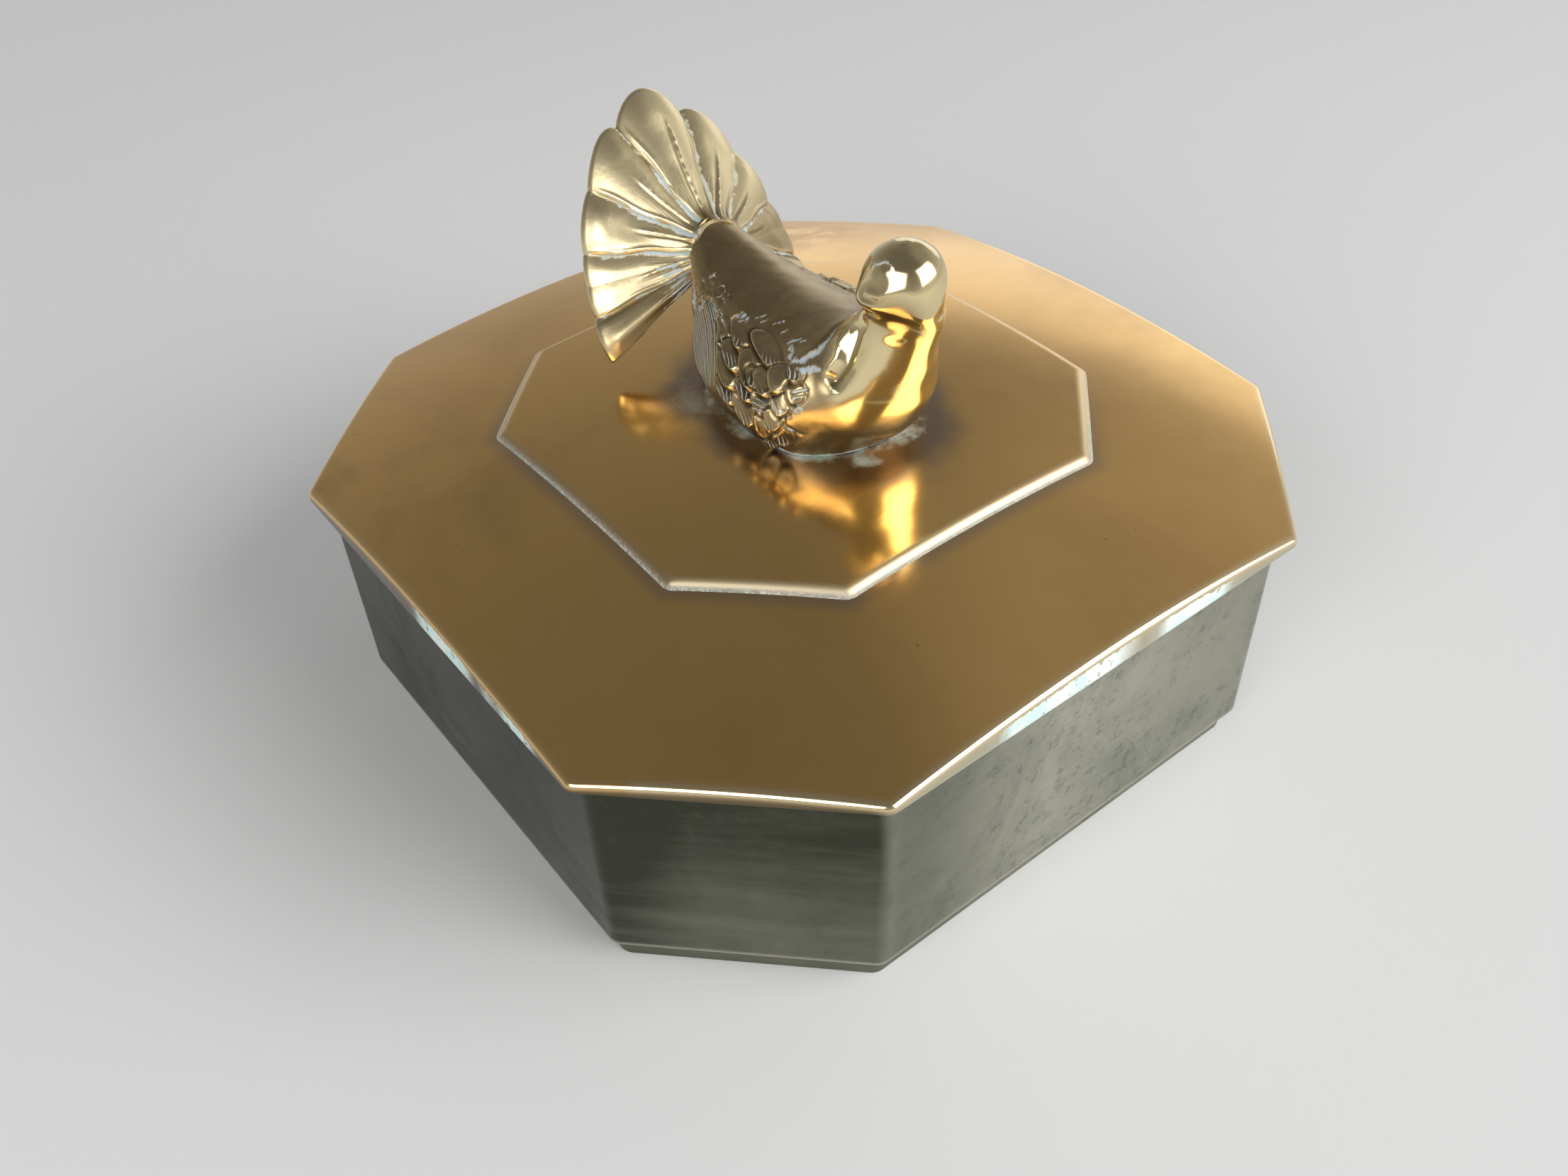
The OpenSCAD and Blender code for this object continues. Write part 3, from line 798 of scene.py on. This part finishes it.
def carve_face(form, s, height, marks):
    """Brow, eye, lip and mouth, on the side that the head looks to."""
    head = ramp((s - 13.6) / 1.0)
    brow, place = from_line(form, BROW)
    ends = window(place, 0, 0.15, 1, 0.15)
    height += head * ends * 0.20 * hump(brow, 0.38)
    raise_mark(marks, "residue", 0.62 * head * ends * hump(brow, 0.34))
    height += head * 0.10 * hump(np.linalg.norm(form - np.array(EYE), axis=-1), 0.7)
    lip, place = from_line(form, LIP)
    height += head * 0.22 * hump(lip, 0.75) * ramp((1 - place) / 0.6)
    mouth, place = from_line(form, MOUTH)
    height -= head * 0.22 * hump(mouth, 0.6) * ramp((0.55 - place) / 0.4)
    raise_mark(marks, "crease", 0.35 * head * hump(mouth, 0.4) * ramp((0.5 - place) / 0.3))


def carve_neck(form, s, a, height, marks):
    """The soft run from the head into the neck, and a hollow at the throat, darkened with painted shade."""
    waist = 14.7 - 1.2 * ramp((a - 140) / 60)
    from_right = np.abs((a - 270 + 180) % 360 - 180)
    height += hump(s - waist, 1.15) * (0.14 + 0.74 * ramp((150 - from_right) / 60))
    throat = np.linalg.norm((form - np.array(THROAT)) * np.array((0.7, 0.7, 1.1)), axis=-1)
    height -= 0.10 * hump(throat, 2.6)
    # painted shade in the hollow under the chin
    raise_mark(marks, "brown_share", 0.90 * hump(throat, 3.2))
    # the far edge of the neck is slightly wavy
    height += 0.12 * np.sin(form[..., 2] * 0.85 + 1) * hump(a - 206, 20) * window(s, 9, 1, 15.2, 1)


def mark_bird(s, a, above, flank, marks):
    """Brown, satin and residue of the bird's broad areas. above is the height over the panel."""
    back = ramp((70 - folded(a)) / 40) * ramp((10.5 - s) / 2.5)
    raise_mark(marks, "brown_share", np.maximum(0.95 * back, 0.84 * flank))
    marks["satin"] = np.maximum(0.25 * back, 0.50 * flank)
    # a painted dark reflection on the crown, less brown on rubbed edges, and painted shade low down next to
    # the lid
    raise_mark(marks, "brown_share", 0.30 * ramp((s - 15.2) / 1.5))
    marks["brown_share"] *= 1 - 0.7 * marks["bright"]
    raise_mark(marks, "brown_share", 0.80 * ramp((6.6 - above) / 4.5))
    # residue round the foot and under the tail
    raise_mark(marks, "residue", 0.9 * hump(np.maximum(above, 0), 0.8))
    raise_mark(marks, "residue", 0.42 * ramp((2.4 - s) / 1.2) * ramp((folded(a) - 80) / 40))


def make_bird():
    """The trunk, neck and head in one skin, carved and marked."""
    def ring_weight(s):
        """More rings where the flank is long, where the wing is carved and in the head."""
        flank_line = bird_form(s, np.full(s.shape, 90.0))
        speed = np.linalg.norm(np.gradient(flank_line, axis=0), axis=-1)
        return speed ** 0.85 * (1 + 0.9 * window(s, 1.5, 1.5, 9.5, 1.5) + 0.3 * ramp(s - 12))

    rings = spaced(0, LAST_RING, MESH_RINGS, ring_weight)
    turns = spaced(0, 360, MESH_TURNS + 1, lambda a: 1 + 1.5 * window(folded(a), 24, 12, 128, 14))[:-1]
    s, a = np.meshgrid(rings, turns, indexing="ij")
    form = bird_form(s, a)
    out = directions(form)
    step = np.linalg.norm(np.roll(form, -1, 1) - form, axis=-1)
    total = step.sum(1, keepdims=True)
    girth = np.concatenate([np.zeros((len(form), 1)), np.cumsum(step, 1)[:, :-1]], 1)
    girth = np.minimum(girth, total - girth)
    height = np.zeros(s.shape)
    marks = {key: np.zeros(s.shape) for key in MARKS}
    flank = ramp((9.6 - s) / 0.8)
    carve_wing(-form[..., 1], girth, height, marks)
    carve_coverts(-form[..., 1], girth, height, marks)
    height *= flank
    for key in ("cut", "residue", "crease", "bright"):
        marks[key] *= flank
    carve_shoulder(form, height, marks)
    carve_face(form, s, height, marks)
    carve_neck(form, s, a, height, marks)
    height += (0.10 + 0.05 * flank) * cloud(form, 6.5) + 0.03 * cloud(form, 1.8, 40) * flank
    height *= ramp(s / 0.12)
    # the rump spreads out where it meets the fan
    spread = (0.80 + 0.30 * np.sin(np.radians(5 * a + 40))) * ramp((190 - folded(a)) / 60)
    height += spread * np.clip(1 - s / 0.95, 0, 1) ** 2
    shape = form + out * height[..., None]
    panel = dome_height(shape[..., 0], shape[..., 1], PANEL_TOP)
    above = shape[..., 2] - panel
    shape[..., 2] = np.maximum(shape[..., 2], panel + 0.03)
    mark_bird(s, a, above, flank, marks)
    # the top of the head closes in a small dome, and the tail end turns in where it meets the fan
    middle = shape[-1].mean(0)
    closing = [middle + (shape[-1] - middle) * math.cos(t) + np.array((0, 0, 0.10 * math.sin(t)))
               for t in (0.5, 1.0, 1.45)]
    hub = shape[0].mean(0)
    behind = tail_root()[3]
    turning = [hub + (shape[0] - hub) * (0.90 + 0.10 * math.sin(t)) + behind * 0.6 * math.cos(t)
               for t in (0.0, 0.5, 1.0)]
    carried = {key: np.concatenate([np.repeat(value[:1], 3, 0), value, np.repeat(value[-1:], 3, 0)])
               for key, value in marks.items()}
    return ring_mesh("bird_body", turning + list(shape) + closing, carried, caps=True)


# The fan of the tail

FEATHERS, FEATHER_TURN, END_TURN, FAN_TURN = 9, 29.8, 17.8, 3.5
FAN_RADIUS, TOP_REACH, LOW_REACH, END_LENGTH = 19.1, 5.5, 7.4, 1.2
FAN_SWEEP, FAN_CUP, FEATHER_CROWN, FAN_THICKNESS = 11.0, 4.0, 0.55, 2.2
SCALLOP, TOP_SCALLOP = 0.8, 3.9
# How far the front rolls back at the rim, and from which share of a feather's length
RIM_ROLL, RIM_STARTS = 0.75, 0.80
# How far the feathers reach past the solid's plain edge, so that both have the same outline
EDGE_FITS = 0.75
# Quills of the feathers: place across the feather, height in mm, where it ends along the feather
QUILLS = [(0.45, 0.20, 0.55), (0.40, 0.26, 0.62), (0.62, 0.22, 0.60), (0.55, 0.20, 0.72),
          (0.56, 0.34, 0.86), (0.46, 0.26, 0.78), (0.50, 0.22, 0.70), (0.46, 0.24, 0.66), (0.5, 0.2, 0.5)]
# Fainter lines beside each quill: place from it across the feather, share of its height, where they end
FAINT_QUILLS = [(-0.24, 0.22, 0.42), (0.22, 0.30, 0.55), (0.10, 0.15, 0.3)]
# The fan's mesh: points round each feather and in the gap below, rows down the front, round the
# rim and down the rear
FEATHER_POINTS, GAP_POINTS, FRONT_ROWS, RIM_ROWS, REAR_ROWS = 40, 24, 96, 9, 40


def overlap_feathers(share, f, mm_per_f, fade, height, marks):
    """Each feather lies over the one below it, with a crease, residue and a bright ridge between, rubbed
    and with a painted highlight.
    """
    for k in range(1, FEATHERS):
        away = (f - k) * mm_per_f * (1 if k >= FEATHERS / 2 else -1)
        away = away + 0.35 * math.sin(9 * share + 2.1 * k) * share * (1 - share) * 3
        height -= 0.55 * fade * window(away, 0, 0.30, 3.4, 3.4)
        height += 0.26 * hump(away + 0.34, 0.34) * fade
        raise_mark(marks, "crease", 0.55 * hump(away - 0.22, 0.22) * ramp((1.02 - share) / 0.1))
        raise_mark(marks, "residue", (away > 0) * hump(away - 0.35, 0.8) * (0.86 - 0.34 * share))
        raise_mark(marks, "bright", 0.8 * hump(away + 0.34, 0.30) * fade)


def raise_quills(share, f, mm_per_f, in_fan, height, marks):
    """A beaded quill down each feather, with a furrow on one side and fainter lines beside it."""
    across = f - np.floor(f)
    for k, (place, rise, end) in enumerate(QUILLS):
        own = (f >= k) & (f <= k + 1) & (in_fan > 0)
        bend = 0.05 * math.sin(5 * share + k)
        d = (across - place - bend) * mm_per_f
        last = window(share, 0, 0.05, end, 0.25)
        beads = 1 + 0.35 * math.sin(70 * share + 3 * k) * math.sin(23 * share + k)
        height += own * (rise * beads * hump(d, 0.30) - 0.7 * rise * hump(d + 0.62, 0.28)) * last
        raise_mark(marks, "crease", own * 0.55 * last * hump(d + 0.62, 0.25))
        for offset, weight, until in FAINT_QUILLS:
            d = (across - place - offset * (0.6 + 0.6 * share)) * mm_per_f
            height += own * weight * rise * hump(d, 0.26) * window(share, 0, 0.05, until, 0.2)


def feather_relief(share, f, in_fan, wide, length):
    """Height of the feathers' own form over the plain fan at a share of its length, and its marks."""
    mm_per_f = np.maximum(wide * (0.25 + 0.75 * share), 0.5)
    height = np.zeros(len(f))
    marks = {key: np.zeros(len(f)) for key in MARKS}
    fade = ramp(share / 0.08) * (0.35 + 0.65 * ramp((1.0 - share) / 0.10))
    overlap_feathers(share, f, mm_per_f, fade, height, marks)
    raise_quills(share, f, mm_per_f, in_fan, height, marks)
    # the third feather folds over itself, and the lowest ones are rolled
    fold = ((f > 2) & (f < 3)) * np.sin(np.pi * (f - 2)) ** 2
    height += fade * fold * 0.50 * math.sin(7.0 * share + 0.8)
    for low in (f, FEATHERS - f):
        height += fade * 0.75 * (low < 1) * in_fan * hump(low - 0.42, 0.22)
        raise_mark(marks, "crease", 0.7 * (low < 1.2) * in_fan * hump(low - 0.86, 0.07))
    # at its root the fan swells where it meets the rump
    swelling = 0.95 + 0.25 * np.sin(4.4 * f + 0.6)
    height += swelling * np.clip(1 - share * length / 3.4, 0, 1) ** 2
    marks["barb"] = f * 11 + 0.8 * math.sin(9 * share)
    marks["cut"] = 0.20 * float(ramp((0.55 - share) / 0.4)) * in_fan
    near_root = hump(share, 0.12) * (0.5 + 0.5 * np.sin(2.1 * f + 1))
    left_low = ramp((2.1 - f) / 0.8) * hump(share - 0.20, 0.27) * (0.72 + 0.28 * np.sin(23 * f))
    raise_mark(marks, "residue", in_fan * np.maximum(0.50 * near_root, 0.88 * left_low))
    marks["satin"] = (0.85 - 0.35 * hump(share, 0.13)) * in_fan
    # brown by the rump, on the seventh and eighth feathers and on the first
    marks["brown_share"] = 0.25 + 0.55 * window(f, 6.3, 0.9, 8.6, 0.8) + 0.4 * ramp((1.4 - f) / 0.8) * in_fan
    raise_mark(marks, "brown_share", hump(share, 0.13) * (0.78 + 0.18 * np.sin(3.1 * f)))
    return height * in_fan, marks


def make_fan():
    """Nine cupped feathers on the bird's first ring, leaned back and rolled at the rim."""
    hub, root_rise, up, back = tail_root()
    side = np.array((1, 0, 0))
    f = np.arange(FEATHERS * FEATHER_POINTS + 1) / FEATHER_POINTS
    m = np.clip(f, 1, FEATHERS - 1)
    turn = (m - FEATHERS / 2) * FEATHER_TURN + (f - m) * END_TURN
    half_span = turn[-1]
    gap_turn = half_span + (360 - 2 * half_span) * np.arange(1, GAP_POINTS) / GAP_POINTS
    a = np.radians(np.concatenate([turn, gap_turn]))
    in_fan = np.concatenate([np.ones(len(f)), np.zeros(GAP_POINTS - 1)])
    f = np.concatenate([f, np.zeros(GAP_POINTS - 1)])
    lobe = np.sin(np.pi * (f - np.floor(f))) ** 0.7 * in_fan
    at_top, at_low = np.maximum(0, np.cos(a)), np.maximum(0, -np.cos(a))
    at_tip = np.maximum(0, np.maximum(1 - f, f - FEATHERS + 1))
    reach = (FAN_RADIUS + TOP_REACH * at_top ** 4 + LOW_REACH * at_low + END_LENGTH * at_tip
             + lobe * (SCALLOP + (TOP_SCALLOP - SCALLOP) * at_top ** 12) + EDGE_FITS)
    leaning = a + math.radians(FAN_TURN)
    outward = np.sin(leaning)[:, None] * side + np.cos(leaning)[:, None] * up
    root = (hub + BIRD_RINGS[0][4] * BIRD_HALF_WIDTH * np.sin(a)[:, None] * side
            + root_rise * np.cos(a)[:, None] * up)
    edge = (hub + reach[:, None] * outward
            + (FAN_SWEEP - FAN_THICKNESS / 2 - FAN_CUP * at_low)[:, None] * back)
    edge = np.where(in_fan[:, None] > 0, edge, root)
    length = np.linalg.norm(edge - root, axis=1)
    # the rim rounds over in the direction that the feathers run
    running = (edge - root) / np.maximum(length, 1e-6)[:, None]
    wide = np.radians(FEATHER_TURN) * reach

    def rolled(share):
        return RIM_ROLL * max(0.0, (share - RIM_STARTS) / (1 - RIM_STARTS)) ** 2 * in_fan

    def front(share):
        lift = FEATHER_CROWN * lobe * math.sin(math.pi / 2 * share)
        return root + share * (edge - root) + (rolled(share) - lift)[:, None] * back

    rows, kept = [], []
    for share in np.linspace(0, 1, FRONT_ROWS + 1):
        rim_height, marks = feather_relief(float(share), f, in_fan, wide, length)
        rows.append(front(share) - rim_height[:, None] * back)
        kept.append(marks)
    rim_marks = {key: value * 0.6 for key, value in marks.items()}
    rim_marks["cut"] = np.zeros(len(a))
    # an ellipse from the slope of the front, on feathers about 20 mm long, round to the rear
    rim_long, rim_half = 1.25, (FAN_THICKNESS - RIM_ROLL) / 1.9
    slope = 2 * RIM_ROLL / (1 - RIM_STARTS) / 20
    first = math.atan(slope * rim_long / rim_half)
    for k in range(1, RIM_ROWS + 1):
        t = first + (math.pi - first) * k / RIM_ROWS
        outer = rim_long * (math.sin(t) - math.sin(first)) * in_fan
        behind = rim_half * (math.cos(first) - math.cos(t))
        fading = (1 + math.cos(t)) / (1 + math.cos(first))
        rows.append(front(1) + outer[:, None] * running + (behind - rim_height * fading)[:, None] * back)
        kept.append(rim_marks)
    for share in np.linspace(0.955, 0, REAR_ROWS):
        height, marks = feather_relief(float(share), f, in_fan, wide, length)
        thick = FAN_THICKNESS * (1.5 - 0.5 * share)
        # the rear keeps straight where the front rolls back
        rows.append(front(share) + (thick - rolled(share) - 0.4 * height)[:, None] * back)
        marks["cut"] = marks["cut"] * 0.4
        marks["residue"] = marks["residue"] * 0.6
        kept.append(marks)
    rows = np.array(rows)
    calm = ramp((FRONT_ROWS - np.arange(len(rows))) / 14)[:, None] * in_fan
    rows = rows - (0.10 * cloud(rows, 4.5, 7) * calm)[..., None] * back
    carried = {key: np.array([marks[key] for marks in kept]) for key in MARKS}
    return ring_mesh("tail_feathers", rows, carried, caps=True)


bird_body = make_bird()
tail_feathers = make_fan()


# Finishes

def lid_finish():
    """Warm brass, polished by hand and clouding over, with brighter edges that carry a painted highlight.
    """
    f = Finish("lid_brass", (0.82, 0.515, 0.185), Metallic=1.0, Roughness=0.17)
    place = f.place()
    x, y, z = f.parts(place)
    edge, crust, skirt = f.carried("edge"), f.carried("crust"), f.carried("skirt")
    clouds = f.noise(place, 14, 4, 0.6, 0.8)
    fine = f.noise(place, 160, 3, 0.6)
    flakes = f.noise(place, 900, 3, 0.7)
    corners = f.noise(f.place(shift=(0.31, 0.12, 0.4)), 9, 3, 0.5, 0.4)
    # brown clouds, thickest at the left corner and the far right one
    left = (x + 0.050).band(0.016, -0.016) * (y - 0.040).size().band(0.045, 0.012)
    far_right = (x - 0.040).size().band(0.030, 0.008) * (y - 0.058).size().band(0.016, 0.004)
    brown_share = (clouds.band(0.44, 0.70) * 0.38 + corners.band(0.50, 0.70) * 0.35
               + left * clouds.band(0.36, 0.56) * 0.95 + far_right * fine.band(0.35, 0.6) * 0.5)
    brown_share = (brown_share * (1 - edge)).clamp()
    f.coat(brown_share, (0.53, 0.32, 0.115))
    f.coat(fine.band(0.35, 0.7) * 0.18, (0.84, 0.56, 0.23))
    # the edges are rubbed brighter and carry a painted highlight where they face the light; those on the
    # left stay brown
    away = (x - y).band(-0.017, -0.021)
    f.coat(edge * (0.80 - away * 0.55), (0.94, 0.80, 0.52))
    # below the rolled edge the skirt is greyer, and painted shade darkens it on the left
    shaded_side = (x - y).band(0.034, 0.027)
    f.coat(skirt * 0.92, f.mix(shaded_side, (0.56, 0.53, 0.40), (0.07, 0.055, 0.035)))
    # a grey haze outside the step of the panel, strongest on the near left
    flat = ((x.size() + y.size()) - 0.0708) * 0.7071
    outside = flat.most(x.size() - 0.045).most(y.size() - 0.045)
    film = outside.band(0.0042, 0.0006) * outside.band(-0.0010, 0.0004) * (x + y).band(0.030, -0.035)
    f.coat(film * (0.30 + clouds * 0.45), (0.27, 0.245, 0.25))
    specks = f.cells(place, 330).band(0.12, 0.05) * f.noise(place, 60, 2).band(0.62, 0.72)
    f.coat(specks * 0.8, (0.10, 0.065, 0.03))
    # a violet grey haze round the foot of the bird, and under its tail a painted dark reflection of the
    # tail, with a little pale residue in it
    foot = oval(x, y + 0.0048, 0.0158, 0.0208)
    wisps = f.noise(place, 120, 3)
    under_tail = oval(x + 0.0168, y - 0.0060, 0.0072, 0.0105)
    haze_and_reflection = (foot + (clouds - 0.5) * 0.5 + (wisps - 0.5) * 0.3).band(1.54, 1.14)
    haze_and_reflection = haze_and_reflection.most((under_tail + (wisps - 0.5) * 0.9).band(1.15, 0.45))
    smear = foot.band(1.24, 1.04) * 0.55 + flakes * 0.40 + wisps.band(0.35, 0.65) * 0.45
    smear = smear.band(0.92, 1.36) * foot.band(1.22, 1.10)
    smear = smear.most((under_tail + (wisps - 0.5) * 1.3 + (flakes - 0.5) * 0.6).band(0.62, 0.05) * 0.42)
    # flakes on the skirt, and powder along the step of the panel
    low = (skirt + (flakes - 0.5) * 1.4).band(0.56, 0.66)
    powder = f.noise(place, 2400, 3, 0.6).band(0.34, 0.76) * 0.6 + 0.4
    powder = powder * ((x + y).band(0.060, -0.020) * 0.55 + 0.30)
    flaked = crust * (low * flakes.band(0.34, 0.40) + z.band(0.0500, 0.0510) * powder)
    pale = (smear * 0.70 + flaked).clamp()
    # the haze round the foot, and the painted dark reflection under the tail
    f.coat(haze_and_reflection * 0.78, (0.185, 0.165, 0.165))
    chalk = f.mix(fine.band(0.4, 0.6), (0.58, 0.76, 0.73), (0.74, 0.79, 0.76))
    # the residue is greenest at one place in front of the bird
    verdigris = foot.band(1.20, 1.12) * (x + 0.0095).size().band(0.0045, 0.0015) * (y + 0.02).band(0.004, 0)
    f.coat(pale, f.mix(verdigris, chalk, (0.42, 0.72, 0.58)))
    grain = f.noise(f.place(scale=(40, 900, 400), turn=(0, 0, 0.5)), 1.0, 2, 0.5)
    step = edge * z.band(0.0520, 0.0530) * (1 - away)
    rough = 0.13 + brown_share * 0.14 + fine * 0.05 - edge * 0.03 + step * 0.34 + pale * 0.5 + haze_and_reflection * 0.10
    f.feed(Base_Color=f.colour, Roughness=rough.clamp(), Metallic=(1 - pale * 0.85).clamp())
    f.relief(grain * 0.6 + fine * 0.5 - specks * 2 + pale * 0.6, 0.00003, 0.35)
    return f.material


def wall_finish():
    """Greyer brass that has dulled, brushed lengthwise, cloudy and spotted, darker on two sides."""
    f = Finish("wall_brass", (0.49, 0.485, 0.39), Metallic=1.0, Roughness=0.34)
    place = f.place()
    x, y, z = f.parts(place)
    brushed = f.noise(f.place(scale=(14, 14, 1300)), 1.0, 4, 0.65)
    streaks = f.noise(f.place(scale=(30, 30, 260), shift=(0.3, 0.1, 0.2)), 1.0, 3, 0.6)
    clouds = f.noise(place, 42, 6, 0.70, 0.8)
    broad = f.noise(f.place(shift=(0.2, 0.7, 0.1)), 15, 4, 0.6, 0.6)
    freckles = f.noise(place, 480, 4, 0.72)
    spots = f.cells(f.place(shift=(0.02, 0.05, 0.01)), 150).band(0.34, 0.12) * broad.band(0.44, 0.58)
    # the left and back sides, with their chamfers, are unpolished
    unpolished = (x - y + (broad - 0.5) * 0.012).band(0.0345, 0.0285)
    dull = (clouds.band(0.38, 0.66) * 0.55 + broad.band(0.40, 0.60) * 0.45).clamp()
    f.coat(dull, (0.29, 0.30, 0.245))
    f.coat(brushed.band(0.45, 0.75) * 0.22, (0.66, 0.64, 0.51))
    # painted shade on these sides, darker towards the top and on the left side
    shaded = z.band(0.012, 0.040) * 0.30 + x.band(-0.060, -0.072) * 0.25
    f.coat(unpolished * (0.90 + shaded - streaks * 0.40), (0.05, 0.055, 0.036))
    # painted shade darkens the front side towards both its ends
    ends = x.band(-0.010, 0.055) * 0.50 + x.band(-0.006, -0.040) * (0.62 + broad * 0.3)
    f.coat(ends * (1 - unpolished), (0.13, 0.135, 0.10))
    pits = freckles.band(0.50, 0.68) * clouds.band(0.34, 0.58) * (1 - unpolished * 0.6)
    f.coat(pits * 0.55, (0.15, 0.15, 0.12))
    f.coat(spots * (1 - unpolished) * 0.09, (0.50, 0.50, 0.43))
    # the wall's lower edge has a painted highlight, and the foot below it is darker with dust and painted
    # shade
    lower_edge_highlight = z.band(0.0064, 0.0054) * z.band(0.0049, 0.0051)
    f.coat(lower_edge_highlight * 0.6, (0.70, 0.68, 0.55))
    f.coat(z.band(0.0050, 0.0048) * 0.55, (0.22, 0.22, 0.17))
    rough = 0.25 + dull * 0.12 + brushed * 0.08 + spots * 0.03 + pits * 0.08
    f.feed(Base_Color=f.colour, Roughness=rough.clamp())
    f.relief(brushed * 0.7 + clouds * 0.3 - pits * 0.4, 0.00005, 0.5)
    return f.material


def casting_finish():
    """Cast brass: bright where hands polish it and where a highlight is painted, brown above, with pale
    residue in the carving.
    """
    f = Finish("cast_brass", (0.86, 0.72, 0.41), Roughness=0.16)
    place = f.place()
    barb, cut, residue, crease, brown_share, satin, bright = (f.carried(name) for name in MARKS)
    clouds = f.noise(place, 90, 4, 0.6, 0.6)
    mottle = f.noise(place, 260, 4, 0.65, 0.4)
    fine = f.noise(place, 1100, 3, 0.65)
    wave = (barb * (2 * math.pi) + (mottle - 0.5) * 3.0).sine() * 0.5 + 0.5
    groove = wave.band(0.70, 0.98) * cut
    filled = ((cut - 0.30) * 1.6).clamp()
    brown = (brown_share * (0.68 + clouds * 0.40 + mottle * 0.30)).clamp()
    f.coat(brown, (0.35, 0.255, 0.13))
    f.coat((clouds.band(0.5, 0.75) * brown * 0.5).clamp(), (0.22, 0.155, 0.075))
    f.coat(satin * (1 - brown) * 0.6, (0.90, 0.78, 0.52))
    # edges rubbed bright, with a painted highlight on them
    f.coat(bright * 0.7, (0.88, 0.72, 0.42))
    dark = (crease + cut * 0.30 + groove * (1 - filled) * 0.45).clamp()
    f.coat(dark, (0.085, 0.055, 0.025))
    # the residue is broken up by the noise, and lies in the grooves where there are some
    ragged = residue + (fine - 0.5) * 1.0 + (mottle - 0.5) * 1.5 - bright * 0.25
    patches = ragged.band(0.46, 0.80) * (1 - filled * (1 - groove) * 0.85)
    threads = groove * filled * (residue + mottle * 0.9 + clouds * 0.3).band(0.62, 1.0)
    chalk = patches.most(threads) * (1 - bright * 0.6)
    green = f.noise(place, 140, 2, 0.5).band(0.54, 0.68)
    f.coat(chalk * 0.82, f.mix(green, (0.52, 0.60, 0.66), (0.42, 0.58, 0.54)))
    rough = (0.09 + brown * 0.06 + satin * 0.24 + crease * 0.20 + chalk * 0.45 + fine * 0.05
             + mottle * satin * 0.10 - bright * 0.08)
    f.feed(Base_Color=f.colour, Metallic=(1 - chalk * 0.8).clamp(), Roughness=rough.clamp())
    relief = (1 - groove) * 0.55 + fine * satin * 0.16 + mottle * satin * 0.35 + chalk * 0.12 + clouds * 0.2
    f.relief(relief, 0.00022, 0.8)
    return f.material


def inner_finish(name, colour, dark, rough):
    """Brass that nobody polishes, with turning marks and a dull bloom."""
    f = Finish(name, colour, Metallic=1.0, Roughness=rough)
    place = f.place()
    bloom = f.noise(place, 30, 4, 0.6, 0.5)
    marks = f.noise(f.place(scale=(300, 300, 2200)), 1.0, 2, 0.5)
    f.coat(bloom.band(0.38, 0.68), dark)
    f.coat(marks * 0.25, (0.80, 0.66, 0.40))
    f.feed(Base_Color=f.colour, Roughness=(rough + bloom * 0.15).clamp())
    f.relief(marks * 0.5 + bloom * 0.5, 0.00004, 0.5)
    return f.material


lid_brass = lid_finish()
wall_brass = wall_finish()
cast_brass = casting_finish()
plate_brass = inner_finish("plate_brass", (0.46, 0.39, 0.24), (0.28, 0.235, 0.14), 0.38)
turned_brass = inner_finish("turned_brass", (0.66, 0.50, 0.24), (0.42, 0.29, 0.12), 0.28)


# What each piece stands for, rides on and is finished with

for piece, finish, body, node, material_slot in (
        (wall, wall_brass, "box", "wall_band", "wall_brass"),
        (foot, wall_brass, "box", "foot_band", "wall_brass"),
        (lid_sheet, lid_brass, "lid", "lid_shell", "lid_brass"),
        (panel_sheet, lid_brass, "lid", "raised_panel", "lid_brass"),
        (bird_body, cast_brass, "lid", "bird_casting", "bird_brass"),
        (tail_feathers, cast_brass, "lid", "tail_fan", "bird_brass")):
    piece.data.materials.append(finish)
    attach(piece, body)
    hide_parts(node)

for name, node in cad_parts.items():
    node.data.materials.clear()
    node.data.materials.append(turned_brass if name.startswith("fixing") else plate_brass)
